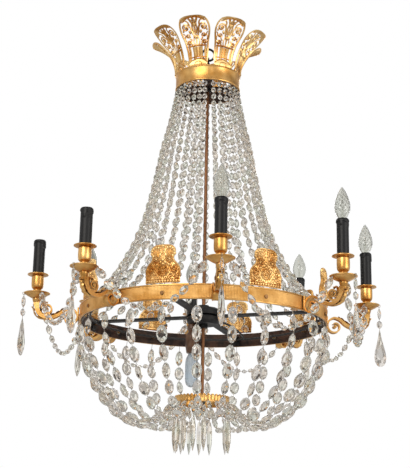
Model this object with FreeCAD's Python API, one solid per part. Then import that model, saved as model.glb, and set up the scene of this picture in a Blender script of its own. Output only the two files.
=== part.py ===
import FreeCAD, Part
import math
import os

# Crystal chandelier: a gilt ring with eight scroll arms hangs on a rod under a small crown.
# Strings of cut glass run from the crown to the ring (the tent) and on to a small ring
# below (the basket).  Millimetres, +Z up.  The origin is the point of the hanging ring
# that bears on a ceiling hook.  Heights named *_up are above the main ring's lower edge.

# ---- main ring and arms -------------------------------------------------------------
ARMS = 8                  # arms round the ring
FIRST_ARM = -90.0         # degrees, the arm that faces the viewer
RING_DROP = 690.0         # from the bearing point down to the ring's lower edge
RING_R = 283.0            # gilt band, outside radius
RING_TALL = 33.0
BAND_THICK = 3.0
RIM_OUT = 1.2             # raised edges of the gilt band
RIM_TALL = 3.5
CURVED_GAP = 0.3          # clearance between two curved faces that seat on each other
LINER_THICK = 3.0         # iron ring behind the gilt band
LINER_SHORT = 1.0         # the liner stops this far inside both edges
ARM_REACH = 382.0         # ring axis to candle axis
HOLE_GAP = 0.25           # radial clearance of a fastener in its hole

# ---- rod, crown and hanging ring ----------------------------------------------------
ROD_R = 4.0
ROD_GAP = 0.3
CROWN_UP = 579.0          # crown band, lower edge
CROWN_TALL = 38.0
CROWN_R = 77.6
EYE_LOOP_R = 15.5         # hanging ring, mean radius
EYE_LOOP_WIRE = 2.75      # hanging ring, radius of its bar
EYE_WIRE = 2.5            # eye bolt, radius of its bar
EYE_GAP = 0.6             # running clearance of the eye on the hanging ring
COUPLING_R = 9.0
COUPLING_TALL = 56.0
COUPLING_DROP = 6.0       # from the eye's lower side to the coupling

# ---- candles ------------------------------------------------------------------------
PAN_UP = 50.0             # underside of the drip pan
PAN_R = 30.0
PAN_DEEP = 13.0
PAN_RIM = 2.0
NIPPLE_R = 5.0
CUP_R = 14.3
CUP_TALL = 51.5
FLANGE_R = 24.0
SLEEVE_R = 13.0
SLEEVE_WALL = 1.4
SLEEVE_TALL = 81.5
HOLDER_R = 10.9
HOLDER_TALL = 34.0
SOCKET_R = 7.15           # bore for the bulb cap
SOCKET_DEEP = 21.0
CAP_R = 6.95
BULB_R = 17.5
BULB_TALL_NEAR = 72.0     # twisted bulbs on the arms nearest the viewer
BULB_TALL_FAR = 66.0      # plain bulbs on the arms behind
LIT_ARMS = (0, 1, 2, 3, 4, 5)     # arms that carry a bulb
BARE_ARMS = (6, 7)                # arms with an empty lampholder
GLASS_WALL = 1.0
NEAR_BULBS = (0, 1, 2)

# ---- glass --------------------------------------------------------------------------
TENT_COUNT = 32
TENT_TOP_BEAD = (12.0, 14.5)      # width and length of the top beads
TENT_LOW_BEAD = (18.0, 27.0)
TENT_FLAT = 0.62          # thickness of a tent bead as a share of its width
BASKET_COUNT = 24
BASKET_BEAD = (23.5, 35.0)
BASKET_BEAD_THICK = 13.0
BASKET_LEAD = 10.0        # bare wire above the first bead
BASKET_GRADE = 0.1        # the first bead is longer, and the last one shorter, by this share
SWAG_BEADS = 13
SWAG_END_BEAD = (21.0, 36.0)
SWAG_MID_BEAD = (11.0, 15.0)
SWAG_GRADE = 1.2          # over 1, bead sizes fall faster near the drip pans
SWAG_SAGS = (125.0, 118.0, 108.0, 112.0, 108.0, 112.0, 92.0, 95.0)
WIRE_R = 0.8
BEAD_GAP = 3.0            # bare wire between two beads
WIRE_HOLD = 2.2           # wire inside each end of a bead
CUT_SIDES = 8             # facets round a piece of cut glass
TENT_SIDES = 6            # facets round a bead of the tent
PIN_SIDES = 4             # facets round the wire between two beads
CUT_TIP = 1.3             # radius of its blunt end, round the wire
CUT_BELLY = 0.14          # share of a bead's length, from its middle, that is straight
LOW_RING_R = 61.5
LOW_RING_TALL = 18.0
LOW_RING_UP = -180.0
LOW_RING_THICK = 2.5
ICICLES = 16
ICICLE_LEFT_OUT = (1, 2, 6)       # places on the right that hang empty
ICICLE_R = 6.0
ICICLE_TALL = 76.0
DROP_WIDE = 28.0
DROP_TALL = 87.0
DROP_THICK = 12.0

ARM_STEP = 360.0 / ARMS
RING_Z = -RING_DROP
UP = FreeCAD.Vector(0, 0, 1)
HERE = FreeCAD.Vector(0, 0, 0)

os.makedirs("parts", exist_ok=True)


def vec(x, y, z):
    return FreeCAD.Vector(x, y, z)


def arm_angle(k):
    return FIRST_ARM + ARM_STEP * k


def turned(shape, degrees):
    copy = shape.copy()
    copy.rotate(HERE, UP, degrees)
    return copy


def moved(shape, x=0.0, y=0.0, z=0.0):
    copy = shape.copy()
    copy.translate(vec(x, y, z))
    return copy


def lathe(outline, x=0.0, y=0.0, z=0.0):
    """Solid of revolution about +Z from a closed outline of (radius, height) points."""
    points = [vec(r, 0, h) for r, h in outline]
    face = Part.Face(Part.makePolygon(points + [points[0]]))
    return moved(face.revolve(HERE, UP, 360), x, y, z)


def tube(outer, inner, low, high):
    return lathe([(inner, low), (outer, low), (outer, high), (inner, high)])


def rod(radius, length, base, direction):
    return Part.makeCylinder(radius, length, base, direction)


def block(x0, x1, wide, z0, z1):
    """Box along X from x0 to x1, centred on the XZ plane."""
    return Part.makeBox(x1 - x0, wide, z1 - z0, vec(x0, -wide / 2.0, z0))


def curved_tab(outer, thick, wide, low, high):
    """Piece of a round wall at +X, wide enough for a screw."""
    return block(outer - thick - 2, outer, wide, low, high).common(tube(outer, outer - thick, low, high))


def save(name, solids):
    shape = solids[0] if len(solids) == 1 else Part.makeCompound(solids)
    shape.exportStep("parts/" + name + ".step")
    print(name, len(shape.Solids), round(shape.Volume), shape.isValid())


def fused(pieces):
    whole = pieces[0].multiFuse(pieces[1:])
    return whole.removeSplitter().Solids[0]


def curve_points(points, count):
    """Evenly spaced (radius, height) points along a smooth curve through the given ones."""
    curve = Part.BSplineCurve()
    curve.interpolate([vec(r, 0, h) for r, h in points])
    return [(p.x, p.z) for p in curve.toShape().discretize(Number=count)]


def around(shape, count, start=0.0, skip=()):
    step = 360.0 / count
    return [turned(shape, start + step * i) for i in range(count) if i not in skip]


# ---- hanging ring and eye -----------------------------------------------------------
LOOP_Z = -(EYE_LOOP_R - EYE_LOOP_WIRE)
PIVOT_Z = LOOP_Z - EYE_LOOP_R
EYE_MEAN = EYE_LOOP_WIRE + EYE_GAP + EYE_WIRE
SHANK_TOP = PIVOT_Z - EYE_MEAN
COUPLING_TOP = SHANK_TOP - EYE_WIRE - COUPLING_DROP
COUPLING_LOW = COUPLING_TOP - COUPLING_TALL
ROD_TOP = (COUPLING_TOP + COUPLING_LOW) / 2.0
ROD_LOW = RING_Z + LOW_RING_UP - 12.0


def hanging_ring():
    return Part.makeTorus(EYE_LOOP_R, EYE_LOOP_WIRE, vec(0, 0, LOOP_Z), vec(0, 1, 0))


def hook_eye():
    eye = Part.makeTorus(EYE_MEAN, EYE_WIRE, vec(0, 0, PIVOT_Z), vec(1, 0, 0))
    shank = rod(ROD_R, SHANK_TOP - ROD_TOP - 1.0, vec(0, 0, ROD_TOP + 1.0), UP)
    return fused([eye, shank])


def hexagon(flats, low, high, bore):
    corner = flats / 2.0 / math.cos(math.radians(30))
    ring = [vec(corner * math.cos(math.radians(60 * i)), corner * math.sin(math.radians(60 * i)), low)
            for i in range(6)]
    body = Part.Face(Part.makePolygon(ring + [ring[0]])).extrude(vec(0, 0, high - low))
    return body.cut(rod(bore, high - low + 2, vec(0, 0, low - 1), UP)).Solids[0]


# ---- crown --------------------------------------------------------------------------
CROWN_Z = RING_Z + CROWN_UP
CROWN_TOP = CROWN_Z + CROWN_TALL
CROWN_IN = CROWN_R - BAND_THICK
CROWN_LINER_R = CROWN_IN - CURVED_GAP
CROWN_LINER_IN = CROWN_LINER_R - LINER_THICK
TAB_THICK = 3.0
TAB_WIDE = 16.0
TAB_DEEP = 18.0
FOOT_TALL = 3.0
CROWN_TAB_R = CROWN_LINER_IN - CURVED_GAP
PALMETTE_THICK = 3.5
PALMETTE_BASE = 25.0      # half widths of the palmette
PALMETTE_WAIST = 20.0
PALMETTE_HEAD = 33.0
PALMETTE_TALL = 95.0
PALMETTE_LEAN = 72.0      # how far the head hangs outward
PALMETTES = 8
CROSS_WIDE = 14.0
CROSS_THICK = 5.0


def band_solid(points, thicks, wide):
    """Strip along (radius, height) points, with its thickness at each, centred on the XZ plane."""
    left, right = [], []
    last = len(points) - 1
    for i, (r, h) in enumerate(points):
        r0, h0 = points[max(i - 1, 0)]
        r1, h1 = points[min(i + 1, last)]
        long = math.hypot(r1 - r0, h1 - h0)
        normal = (-(h1 - h0) / long, (r1 - r0) / long)
        half = thicks[i] / 2.0
        left.append(vec(r + normal[0] * half, -wide / 2.0, h + normal[1] * half))
        right.append(vec(r - normal[0] * half, -wide / 2.0, h - normal[1] * half))
    edges = []
    for side in (left, right[::-1]):
        curve = Part.BSplineCurve()
        curve.interpolate(side)
        edges.append(curve.toShape())
    edges.insert(1, Part.makeLine(left[-1], right[-1]))
    edges.append(Part.makeLine(right[0], left[0]))
    return Part.Face(Part.Wire(edges)).extrude(vec(0, wide, 0))


def leaf_prism(base, chord, half_widths, head, holes):
    """Prism of the palmette's outline, square to the line from its foot to its tip."""
    long = math.hypot(chord[0], chord[1])
    along = vec(chord[0] / long, 0, chord[1] / long)
    across = vec(0, 1, 0)
    normal = along.cross(across)
    start = vec(base[0], 0, base[1]) - normal * PALMETTE_LEAN

    def at(y, s):
        return start + across * y + along * s

    right = [at(y, s) for y, s in half_widths]
    left = [at(-y, s) for y, s in reversed(half_widths)]
    crest = Part.BSplineCurve()
    crest.interpolate([right[-1]] + [at(y, s) for y, s in head] + [left[0]])
    edges = [Part.makeLine(a, b) for a, b in zip(right, right[1:])]
    edges.append(crest.toShape())
    edges += [Part.makeLine(a, b) for a, b in zip(left, left[1:])]
    edges.append(Part.makeLine(left[-1], right[0]))
    prism = Part.Face(Part.Wire(edges)).extrude(normal * (2 * PALMETTE_LEAN))
    for y, s, radius, tall in holes:
        low = at(y, s)
        prism = prism.cut(rod(radius, 2 * PALMETTE_LEAN, low, normal))
        if tall:
            corner = low - across * radius
            wire = Part.makePolygon([corner, corner + across * (2 * radius),
                                     corner + across * (2 * radius) + along * tall,
                                     corner + along * tall, corner])
            prism = prism.cut(Part.Face(wire).extrude(normal * (2 * PALMETTE_LEAN)))
    return prism


def palmette():
    """Openwork leaf cut from a sheet that bends outward, with a foot and a tab in the band."""
    base_r = CROWN_R - BAND_THICK / 2.0
    low = CROWN_TOP + FOOT_TALL - 0.5
    rise, lean = PALMETTE_TALL, PALMETTE_LEAN
    bends = [(0, 0), (0.02, 0.2), (0.11, 0.42), (0.3, 0.68), (0.55, 0.89), (0.79, 1.0), (1.0, 0.97)]
    middle = curve_points([(base_r + lean * u, low + rise * v) for u, v in bends], 14)
    sheet = band_solid(middle, [PALMETTE_THICK] * len(middle), 2 * PALMETTE_HEAD + 6)
    long = math.hypot(lean, rise)
    sides = [(PALMETTE_BASE, -0.2 * long), (PALMETTE_BASE, 0.12 * long),
             (PALMETTE_WAIST, 0.2 * long), (PALMETTE_WAIST, 0.46 * long)]
    head = [(PALMETTE_HEAD * 0.85, 0.56 * long), (PALMETTE_HEAD, 0.74 * long),
            (PALMETTE_HEAD * 0.85, 0.92 * long), (PALMETTE_HEAD * 0.45, 1.02 * long), (0, 1.05 * long)]
    head += [(-y, s) for y, s in reversed(head[:-1])]
    holes = [(side * 10.5, 0.2 * long, 3.2, 0.2 * long) for side in (-1, 1)]
    holes += [(side * 15.5, 0.68 * long, 6.0, 0) for side in (-1, 1)]
    holes += [(0, 0.5 * long, 4.0, 0)]
    prism = leaf_prism((base_r, low), (lean, rise), sides, head, holes)
    leaf = sheet.common(prism).Solids[0]
    back = CROWN_TAB_R - TAB_THICK
    foot = block(back, CROWN_R - 0.4, TAB_WIDE, CROWN_TOP, CROWN_TOP + FOOT_TALL)
    tab = curved_tab(CROWN_TAB_R, TAB_THICK, TAB_WIDE, CROWN_TOP - TAB_DEEP, CROWN_TOP + 1)
    return fused([leaf, foot, tab])


def screw(head_r, head_tall, shank_r, head_face, tip, z):
    """Radial screw along X: its head starts at head_face, and its shank ends at tip."""
    toward = 1 if tip > head_face else -1
    head = rod(head_r, head_tall, vec(head_face, 0, z), vec(toward, 0, 0))
    shank = rod(shank_r, abs(tip - head_face), vec(head_face, 0, z), vec(toward, 0, 0))
    return fused([head, shank])


PALMETTE_START = FIRST_ARM + ARM_STEP / 2.0
SCREW_R = 1.5
SCREW_HEAD_R = 3.0
SCREW_HEAD_TALL = 2.0
HEAD_GAP = 0.15           # clearance of a flat head on the curved wall it clamps
CROWN_SCREW_Z = CROWN_TOP - TAB_DEEP / 2.0
CROWN_SCREW_TIP = CROWN_R - 1.0


def crown():
    band = lathe([(CROWN_IN, CROWN_Z), (CROWN_R + RIM_OUT, CROWN_Z),
                  (CROWN_R + RIM_OUT, CROWN_Z + RIM_TALL), (CROWN_R, CROWN_Z + RIM_TALL + 1),
                  (CROWN_R, CROWN_TOP - RIM_TALL - 1), (CROWN_R + RIM_OUT, CROWN_TOP - RIM_TALL),
                  (CROWN_R + RIM_OUT, CROWN_TOP), (CROWN_IN, CROWN_TOP)])
    liner = tube(CROWN_LINER_R, CROWN_LINER_IN, CROWN_Z + LINER_SHORT, CROWN_TOP - LINER_SHORT)
    hole = rod(SCREW_R + HOLE_GAP, CROWN_SCREW_TIP - CROWN_LINER_IN + 5,
               vec(CROWN_LINER_IN - 5, 0, CROWN_SCREW_Z), vec(1, 0, 0))
    drills = Part.makeCompound(around(hole, PALMETTES, PALMETTE_START))
    save("crown_band", [band.cut(drills).Solids[0]])
    save("crown_liner", [liner.cut(drills).Solids[0]])
    leaf = palmette().cut(hole).Solids[0]
    save("crown_palmettes", around(leaf, PALMETTES, PALMETTE_START))
    head = CROWN_TAB_R - TAB_THICK - SCREW_HEAD_TALL - HEAD_GAP
    bolt = screw(SCREW_HEAD_R, SCREW_HEAD_TALL, SCREW_R, head, CROWN_SCREW_TIP, CROWN_SCREW_Z)
    save("palmette_screws", around(bolt, PALMETTES, PALMETTE_START))


def cross(reach, wide, low, thick, hub_r, bore, foot_up, foot_thick, start):
    """Four flat bars from a hub to feet that turn up, or down for foot_up < 0."""
    pieces = [rod(hub_r, thick, vec(0, 0, low), UP)]
    bar = block(0, reach - foot_thick / 2.0, wide, low, low + thick)
    foot = curved_tab(reach, foot_thick, wide, min(low, low + foot_up), max(low, low + foot_up))
    for k in range(4):
        pieces += [turned(bar, start + 90 * k), turned(foot, start + 90 * k)]
    body = fused(pieces)
    return body.cut(rod(bore, thick + 2, vec(0, 0, low - 1), UP)).Solids[0]


CROSS_LOW = COUPLING_LOW - CROSS_THICK


def crown_cross():
    body = cross(CROWN_TAB_R, CROSS_WIDE, CROSS_LOW, CROSS_THICK, 14.0, ROD_R + ROD_GAP,
                 CROSS_THICK + 12.0, TAB_THICK, FIRST_ARM)
    save("crown_cross", [body])
    nut = hexagon(17.0, CROSS_LOW - 8.0, CROSS_LOW, ROD_R + ROD_GAP)
    save("crown_nut", [nut])
    save("eye_coupling", [hexagon(2 * COUPLING_R, COUPLING_LOW, COUPLING_TOP, ROD_R + ROD_GAP)])


# ---- main ring ----------------------------------------------------------------------
RING_TOP = RING_Z + RING_TALL
RING_IN = RING_R - BAND_THICK
RING_LINER_R = RING_IN - CURVED_GAP
RING_LINER_IN = RING_LINER_R - LINER_THICK
ORNAMENT_TAB_R = RING_LINER_IN - CURVED_GAP
ORNAMENTS = 8
ORNAMENT_WIDE = 82.0
ORNAMENT_TALL = 81.0
ORNAMENT_THICK = 5.0
ORNAMENT_START = FIRST_ARM + ARM_STEP / 2.0
ORNAMENT_TAB_DEEP = 26.0
ORNAMENT_SCREW_Z = RING_Z + 14.5
RING_SCREW_R = 2.0
RING_SCREW_HEAD_R = 4.0
CROSS_UP = 18.0           # underside of the cross bars
CROSS_WIDE_RING = 18.0
CROSS_FOOT = 15.0         # the feet reach this far down from the bars
CROSS_START = FIRST_ARM + 1.5 * ARM_STEP
RING_CROSS_R = ORNAMENT_TAB_R - TAB_THICK - CURVED_GAP
STUD_R = 2.5
STUD_Z = RING_Z + 15.0
NUT_TALL = 5.0


def main_ring():
    band = lathe([(RING_IN, RING_Z), (RING_R + RIM_OUT, RING_Z), (RING_R + RIM_OUT, RING_Z + RIM_TALL),
                  (RING_R, RING_Z + RIM_TALL + 1), (RING_R, RING_TOP - RIM_TALL - 1),
                  (RING_R + RIM_OUT, RING_TOP - RIM_TALL), (RING_R + RIM_OUT, RING_TOP),
                  (RING_IN, RING_TOP)])
    liner = tube(RING_LINER_R, RING_LINER_IN, RING_Z + LINER_SHORT, RING_TOP - LINER_SHORT)
    screw_hole = rod(RING_SCREW_R + HOLE_GAP, 30, vec(RING_R - 25, 0, ORNAMENT_SCREW_Z), vec(1, 0, 0))
    stud_hole = rod(STUD_R + HOLE_GAP, 30, vec(RING_R - 25, 0, STUD_Z), vec(1, 0, 0))
    drills = around(screw_hole, ORNAMENTS, ORNAMENT_START) + around(stud_hole, ARMS, FIRST_ARM)
    drills = Part.makeCompound(drills)
    save("ring_band", [band.cut(drills).Solids[0]])
    save("ring_liner", [liner.cut(drills).Solids[0]])
    body = cross(RING_CROSS_R, CROSS_WIDE_RING, RING_Z + CROSS_UP, CROSS_THICK, 26.0,
                 ROD_R + ROD_GAP, -CROSS_FOOT, TAB_THICK, CROSS_START)
    holes = Part.makeCompound(around(screw_hole, 4, CROSS_START))
    save("ring_cross", [body.cut(holes).Solids[0]])
    save("ring_ornaments", around(ornament().cut(screw_hole).Solids[0], ORNAMENTS, ORNAMENT_START))
    tip = RING_CROSS_R - TAB_THICK - 4.0
    bolt = screw(RING_SCREW_HEAD_R, 2.2, RING_SCREW_R, RING_R + 2.2, tip, ORNAMENT_SCREW_Z)
    save("ornament_screws", around(bolt, ORNAMENTS, ORNAMENT_START))


def ornament():
    """Openwork mount on the ring's top edge: leaf scrolls that climb round two wheels."""
    low = RING_TOP + FOOT_TALL - 0.5
    half = ORNAMENT_WIDE / 2.0
    steps = [(0.98, 0.0), (1.0, 0.12), (0.88, 0.2), (0.84, 0.36), (0.66, 0.42), (0.6, 0.58),
             (0.42, 0.64), (0.36, 0.82), (0.16, 0.88), (0.0, 1.0)]
    right = [(y * half, low + h * ORNAMENT_TALL) for y, h in steps]
    left = [(-y, h) for y, h in reversed(right[:-1])]
    points = [vec(RING_IN - 8, y, h) for y, h in right + left]
    face = Part.Face(Part.makePolygon(points + [points[0]]))
    prism = face.extrude(vec(20, 0, 0))
    shell = tube(RING_R + RIM_OUT, RING_R + RIM_OUT - ORNAMENT_THICK, low - 1, low + ORNAMENT_TALL + 1)
    plate = prism.common(shell).Solids[0]
    for side in (-1, 1):
        for y, h, radius in ((13.0, 17.0, 6.0), (27.0, 12.0, 3.5), (12.0, 42.0, 4.0)):
            plate = plate.cut(rod(radius, 40, vec(RING_IN - 20, side * y, low + h), vec(1, 0, 0)))
    back = ORNAMENT_TAB_R - TAB_THICK
    foot = block(back, RING_R, TAB_WIDE, RING_TOP, RING_TOP + FOOT_TALL)
    tab = curved_tab(ORNAMENT_TAB_R, TAB_THICK, TAB_WIDE, RING_TOP - ORNAMENT_TAB_DEEP, RING_TOP + 1)
    return fused([plate.Solids[0], foot, tab])


BOX_R = 38.0              # junction box, above and below the cross
BOX_UP_TALL = 24.0
BOX_LOW_TALL = 16.0
BOX_LOW = RING_Z + CROSS_UP - BOX_LOW_TALL


def hub():
    low = RING_Z + CROSS_UP + CROSS_THICK
    bore, r = ROD_R + ROD_GAP, BOX_R
    top = low + BOX_UP_TALL
    save("junction_box", [lathe([(bore, low), (r, low), (r, low + 12), (r - 4, low + 16),
                                 (16, low + 19), (12, top), (bore, top)])])
    plate = lathe([(bore, BOX_LOW), (r - 6, BOX_LOW), (r - 2, BOX_LOW + 3), (r, BOX_LOW + 8),
                   (r, BOX_LOW + BOX_LOW_TALL), (bore, BOX_LOW + BOX_LOW_TALL)])
    socket_hole = rod(5.0, 12, vec(LAMP_X, 0, BOX_LOW - 1), UP)
    save("junction_base", [plate.cut(socket_hole).Solids[0]])
    save("hub_nut", [hexagon(17.0, BOX_LOW - 8, BOX_LOW, bore)])


# ---- inner lamp ---------------------------------------------------------------------
LAMP_X = -25.0            # the lamp hangs beside the rod
LAMP_HOLDER_R = 15.0
LAMP_HOLDER_TALL = 66.0
LAMP_BULB_R = 14.5
LAMP_BULB_TALL = 78.0
LAMP_TOP = BOX_LOW
LAMP_LOW = LAMP_TOP - LAMP_HOLDER_TALL


def inner_lamp():
    low = LAMP_LOW
    holder = lathe([(0.0, LAMP_TOP + 9), (4.7, LAMP_TOP + 9), (4.7, LAMP_TOP), (10, LAMP_TOP),
                    (12, LAMP_TOP - 10), (8, LAMP_TOP - 16), (LAMP_HOLDER_R, LAMP_TOP - 26),
                    (LAMP_HOLDER_R, low + 14), (LAMP_HOLDER_R - 2.5, low),
                    (SOCKET_R, low), (SOCKET_R, low + SOCKET_DEEP), (0.0, low + SOCKET_DEEP)],
                   x=LAMP_X)
    save("lower_lampholder", [holder])
    neck, r, tip = low - 1.0, LAMP_BULB_R, low - LAMP_BULB_TALL
    outline = [(CAP_R, neck), (CAP_R + 2, neck - 4), (r, neck - 20), (r, tip + 20),
               (r * 0.8, tip + 7), (r * 0.45, tip + 1.5)]
    inside = [(r - GLASS_WALL, h) for r, h in reversed(outline)]
    glass = lathe(outline + [(0, tip), (0, tip + 1.5 * GLASS_WALL)] + inside, x=LAMP_X)
    cap = lathe([(0.0, neck), (CAP_R, neck), (CAP_R, low + SOCKET_DEEP - 5),
                 (2.5, low + SOCKET_DEEP - 0.5), (0.0, low + SOCKET_DEEP - 0.5)], x=LAMP_X)
    save("inner_bulb", [glass, cap])


# ---- wiring -------------------------------------------------------------------------
LOOM_R = 2.5
LOOM_IN = 17.7            # from the ring's liner in to the loop
LOOM_RING = RING_LINER_IN - LOOM_IN
LOOM_Z = RING_Z + CROSS_UP - LOOM_R - 0.3
LOOM_EXIT = 20.0          # degrees, where the lead leaves the junction box
LOOM_JOIN = 62.0          # degrees, where it meets the loop on the ring


def loom_lead():
    """Straight lead from the junction base's rim out to the loop."""
    a, b = math.radians(LOOM_EXIT), math.radians(LOOM_JOIN)
    reach = BOX_R + LOOM_R + 0.2
    start = vec(reach * math.cos(a), reach * math.sin(a), LOOM_Z)
    end = vec(LOOM_RING * math.cos(b), LOOM_RING * math.sin(b), LOOM_Z)
    return rod(LOOM_R, (end - start).Length, start, end - start)


def wiring():
    loop = Part.makeTorus(LOOM_RING, LOOM_R, vec(0, 0, LOOM_Z), UP)
    save("wiring_loom", [fused([loop, loom_lead()])])


# ---- arms ---------------------------------------------------------------------------
ARM_WIDE = 16.0
ARM_FOOT_R = RING_R + RIM_OUT + CURVED_GAP
ARM_FOOT_THICK = 4.0
ARM_FOOT_WIDE = 18.0
VOLUTE_R = 17.5           # scroll beside the ring, radius of its middle line
VOLUTE_UP = 5.0
VOLUTE_TURN = 390.0
VOLUTE_SHRINK = 10.5      # loss of radius in a full turn
VOLUTE_X = ARM_FOOT_R + VOLUTE_R + 0.6
CURL_R = 13.5             # small scroll inside the arm's bend
CURL_X = ARM_REACH - 24.0
CURL_UP = 26.0
CURL_SHRINK = 7.2
ROSETTE_R = 4.6
ROSETTE_OUT = 1.5
BOSS_TALL = 16.0
# Arm from the scroll's crest to the candle: distance in from the candle axis, height
ARM_ROUTE = [(66.0, 18.6), (52.0, 10.8), (38.0, 6.9), (24.0, 6.5), (11.5, 11.5), (3.4, 23.5), (0.0, 40.0)]
ARM_THICK = (3.4, 7.0, 8.0, 15.0)     # tail of the scroll, its crest, the bend, the stem


def spiral(x, z, radius, shrink, start, turn, steps):
    """Points of a scroll that starts at an angle and winds inward, clockwise for turn < 0."""
    points = []
    for i in range(steps + 1):
        t = turn * i / steps
        r = radius - shrink * abs(t) / 360.0
        a = math.radians(start + t)
        points.append((x + r * math.cos(a), z + r * math.sin(a)))
    return points


def arm():
    scroll = spiral(VOLUTE_X, RING_Z + VOLUTE_UP, VOLUTE_R, VOLUTE_SHRINK, 90, VOLUTE_TURN, 26)[::-1]
    route = scroll + [(ARM_REACH - x, RING_Z + z) for x, z in ARM_ROUTE]
    tail, crest, bend, stem = ARM_THICK
    turns = len(scroll)
    thicks = [tail + (crest - tail) * i / (turns - 1) for i in range(turns)]
    thicks += [crest, crest, bend, bend, bend + 1.5, 0.5 * (bend + stem), stem]
    strip = band_solid(route, thicks, ARM_WIDE)
    inner = spiral(CURL_X, RING_Z + CURL_UP, CURL_R, CURL_SHRINK, -60, -420, 26)
    curl = band_solid(inner, [4.6 - 1.4 * i / 26 for i in range(27)], ARM_WIDE - 2)
    long = ARM_WIDE + 2 * ROSETTE_OUT
    rosettes = [rod(ROSETTE_R, long, vec(x, -long / 2, z), vec(0, 1, 0))
                for x, z in ((VOLUTE_X, RING_Z + VOLUTE_UP), (CURL_X, RING_Z + CURL_UP))]
    foot = block(ARM_FOOT_R, ARM_FOOT_R + ARM_FOOT_THICK, ARM_FOOT_WIDE, RING_Z + 1.5, RING_TOP - 1.5)
    stud = rod(STUD_R, ARM_FOOT_R - STUD_TIP + 2, vec(STUD_TIP, 0, STUD_Z), vec(1, 0, 0))
    top = RING_Z + PAN_UP
    boss = lathe([(0, top - BOSS_TALL), (6, top - BOSS_TALL), (9.5, top - 3), (9, top), (0, top)],
                 x=ARM_REACH)
    body = fused([strip, curl, foot, stud, boss] + rosettes)
    seat = rod(NIPPLE_R + 0.05, 10, vec(ARM_REACH, 0, top - 6), UP)
    return body.cut(seat).Solids[0]


STUD_NUT_R = RING_LINER_IN - 0.2
STUD_TIP = STUD_NUT_R - NUT_TALL - 2.0


def arms():
    shape = arm()
    nut = hexagon(9.0, 0.0, NUT_TALL, STUD_R + HOLE_GAP)
    nut.rotate(HERE, vec(0, 1, 0), -90)
    nut = moved(nut, x=STUD_NUT_R, z=STUD_Z)
    for k in range(ARMS):
        save("arm_%d" % (k + 1), [turned(shape, arm_angle(k))])
    save("arm_nuts", around(nut, ARMS, FIRST_ARM))


# ---- candles ------------------------------------------------------------------------
PAN_Z = RING_Z + PAN_UP
RIM_Z = PAN_Z + PAN_DEEP
CUP_Z = PAN_Z + 7.0
CUP_TOP = CUP_Z + CUP_TALL
SEAT_Z = CUP_TOP - 3.0
SLEEVE_TOP = SEAT_Z + SLEEVE_TALL
HOLDER_TOP = SLEEVE_TOP - 3.0
HOLDER_Z = HOLDER_TOP - HOLDER_TALL
LINK_HOLE_IN = 3.5        # centre of the link hole, in from the rim
LINK_STRIP = 1.5          # metal left between that hole and the rim
LINK_WIRE = 0.6
LINK_R = 3.2
SWAG_HOOK_IN = 2.5


def candle_parts():
    bore = NIPPLE_R + CURVED_GAP
    x = ARM_REACH
    pan = lathe([(bore, PAN_Z), (9, PAN_Z), (14, PAN_Z + 3), (22, PAN_Z + 7), (26, RIM_Z - PAN_RIM),
                 (PAN_R, RIM_Z - PAN_RIM), (PAN_R, RIM_Z), (25, RIM_Z), (21, RIM_Z - 3),
                 (12, CUP_Z), (bore, CUP_Z)], x=x)
    hole = rod(LINK_HOLE_IN - LINK_STRIP, 20, vec(x + PAN_R - LINK_HOLE_IN, 0, RIM_Z - 12), UP)
    pan = pan.cut(hole).Solids[0]
    lip = SLEEVE_R + 0.4
    cup = lathe([(bore, CUP_Z), (11, CUP_Z), (11, CUP_Z + 3), (8, CUP_Z + 7), (9, CUP_Z + 13),
                 (13, CUP_Z + 21), (CUP_R, CUP_Z + 31), (13.6, CUP_Z + 40), (12.6, CUP_Z + 44),
                 (16, CUP_TOP - 5.5), (FLANGE_R, CUP_TOP - 4), (FLANGE_R, CUP_TOP - 1.5),
                 (17, CUP_TOP), (lip, CUP_TOP), (lip, SEAT_Z), (bore, SEAT_Z)], x=x)
    inner = SLEEVE_R - SLEEVE_WALL
    sleeve = lathe([(inner, SEAT_Z), (SLEEVE_R, SEAT_Z), (SLEEVE_R, SLEEVE_TOP - 14),
                    (SLEEVE_R + 1.4, SLEEVE_TOP - 12), (SLEEVE_R + 1.4, SLEEVE_TOP - 7),
                    (SLEEVE_R, SLEEVE_TOP - 4), (SLEEVE_R, SLEEVE_TOP), (inner, SLEEVE_TOP)], x=x)
    floor = HOLDER_TOP - SOCKET_DEEP
    holder = lathe([(bore, HOLDER_Z), (HOLDER_R, HOLDER_Z), (HOLDER_R, HOLDER_TOP),
                    (SOCKET_R, HOLDER_TOP), (SOCKET_R, floor), (0, floor), (0, floor - 3),
                    (bore, floor - 3)], x=x)
    nipple = tube(NIPPLE_R, NIPPLE_R - 1.5, PAN_Z - 5.7, floor - 3.3)
    nipple = moved(nipple, x=x)
    return pan, cup, sleeve, holder, nipple


def bulb(tall):
    x, low = ARM_REACH, HOLDER_TOP + 0.5
    tip = SLEEVE_TOP + tall
    span = tip - low
    wall = GLASS_WALL
    floor = HOLDER_TOP - SOCKET_DEEP + 0.5
    cap = lathe([(0, floor), (2.5, floor), (CAP_R, floor + 4), (CAP_R, low), (0, low)], x=x)
    outline = [(CAP_R, low), (9.6, low + 4), (BULB_R * 0.86, low + 0.2 * span),
               (BULB_R, low + 0.36 * span), (BULB_R * 0.93, low + 0.5 * span),
               (BULB_R * 0.68, low + 0.7 * span), (BULB_R * 0.36, low + 0.88 * span),
               (BULB_R * 0.13, low + 0.98 * span)]
    inside = [(r - wall, h) for r, h in reversed(outline)]
    return [lathe(outline + [(0, tip), (0, tip - 1.5 * wall)] + inside, x=x), cap]


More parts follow.
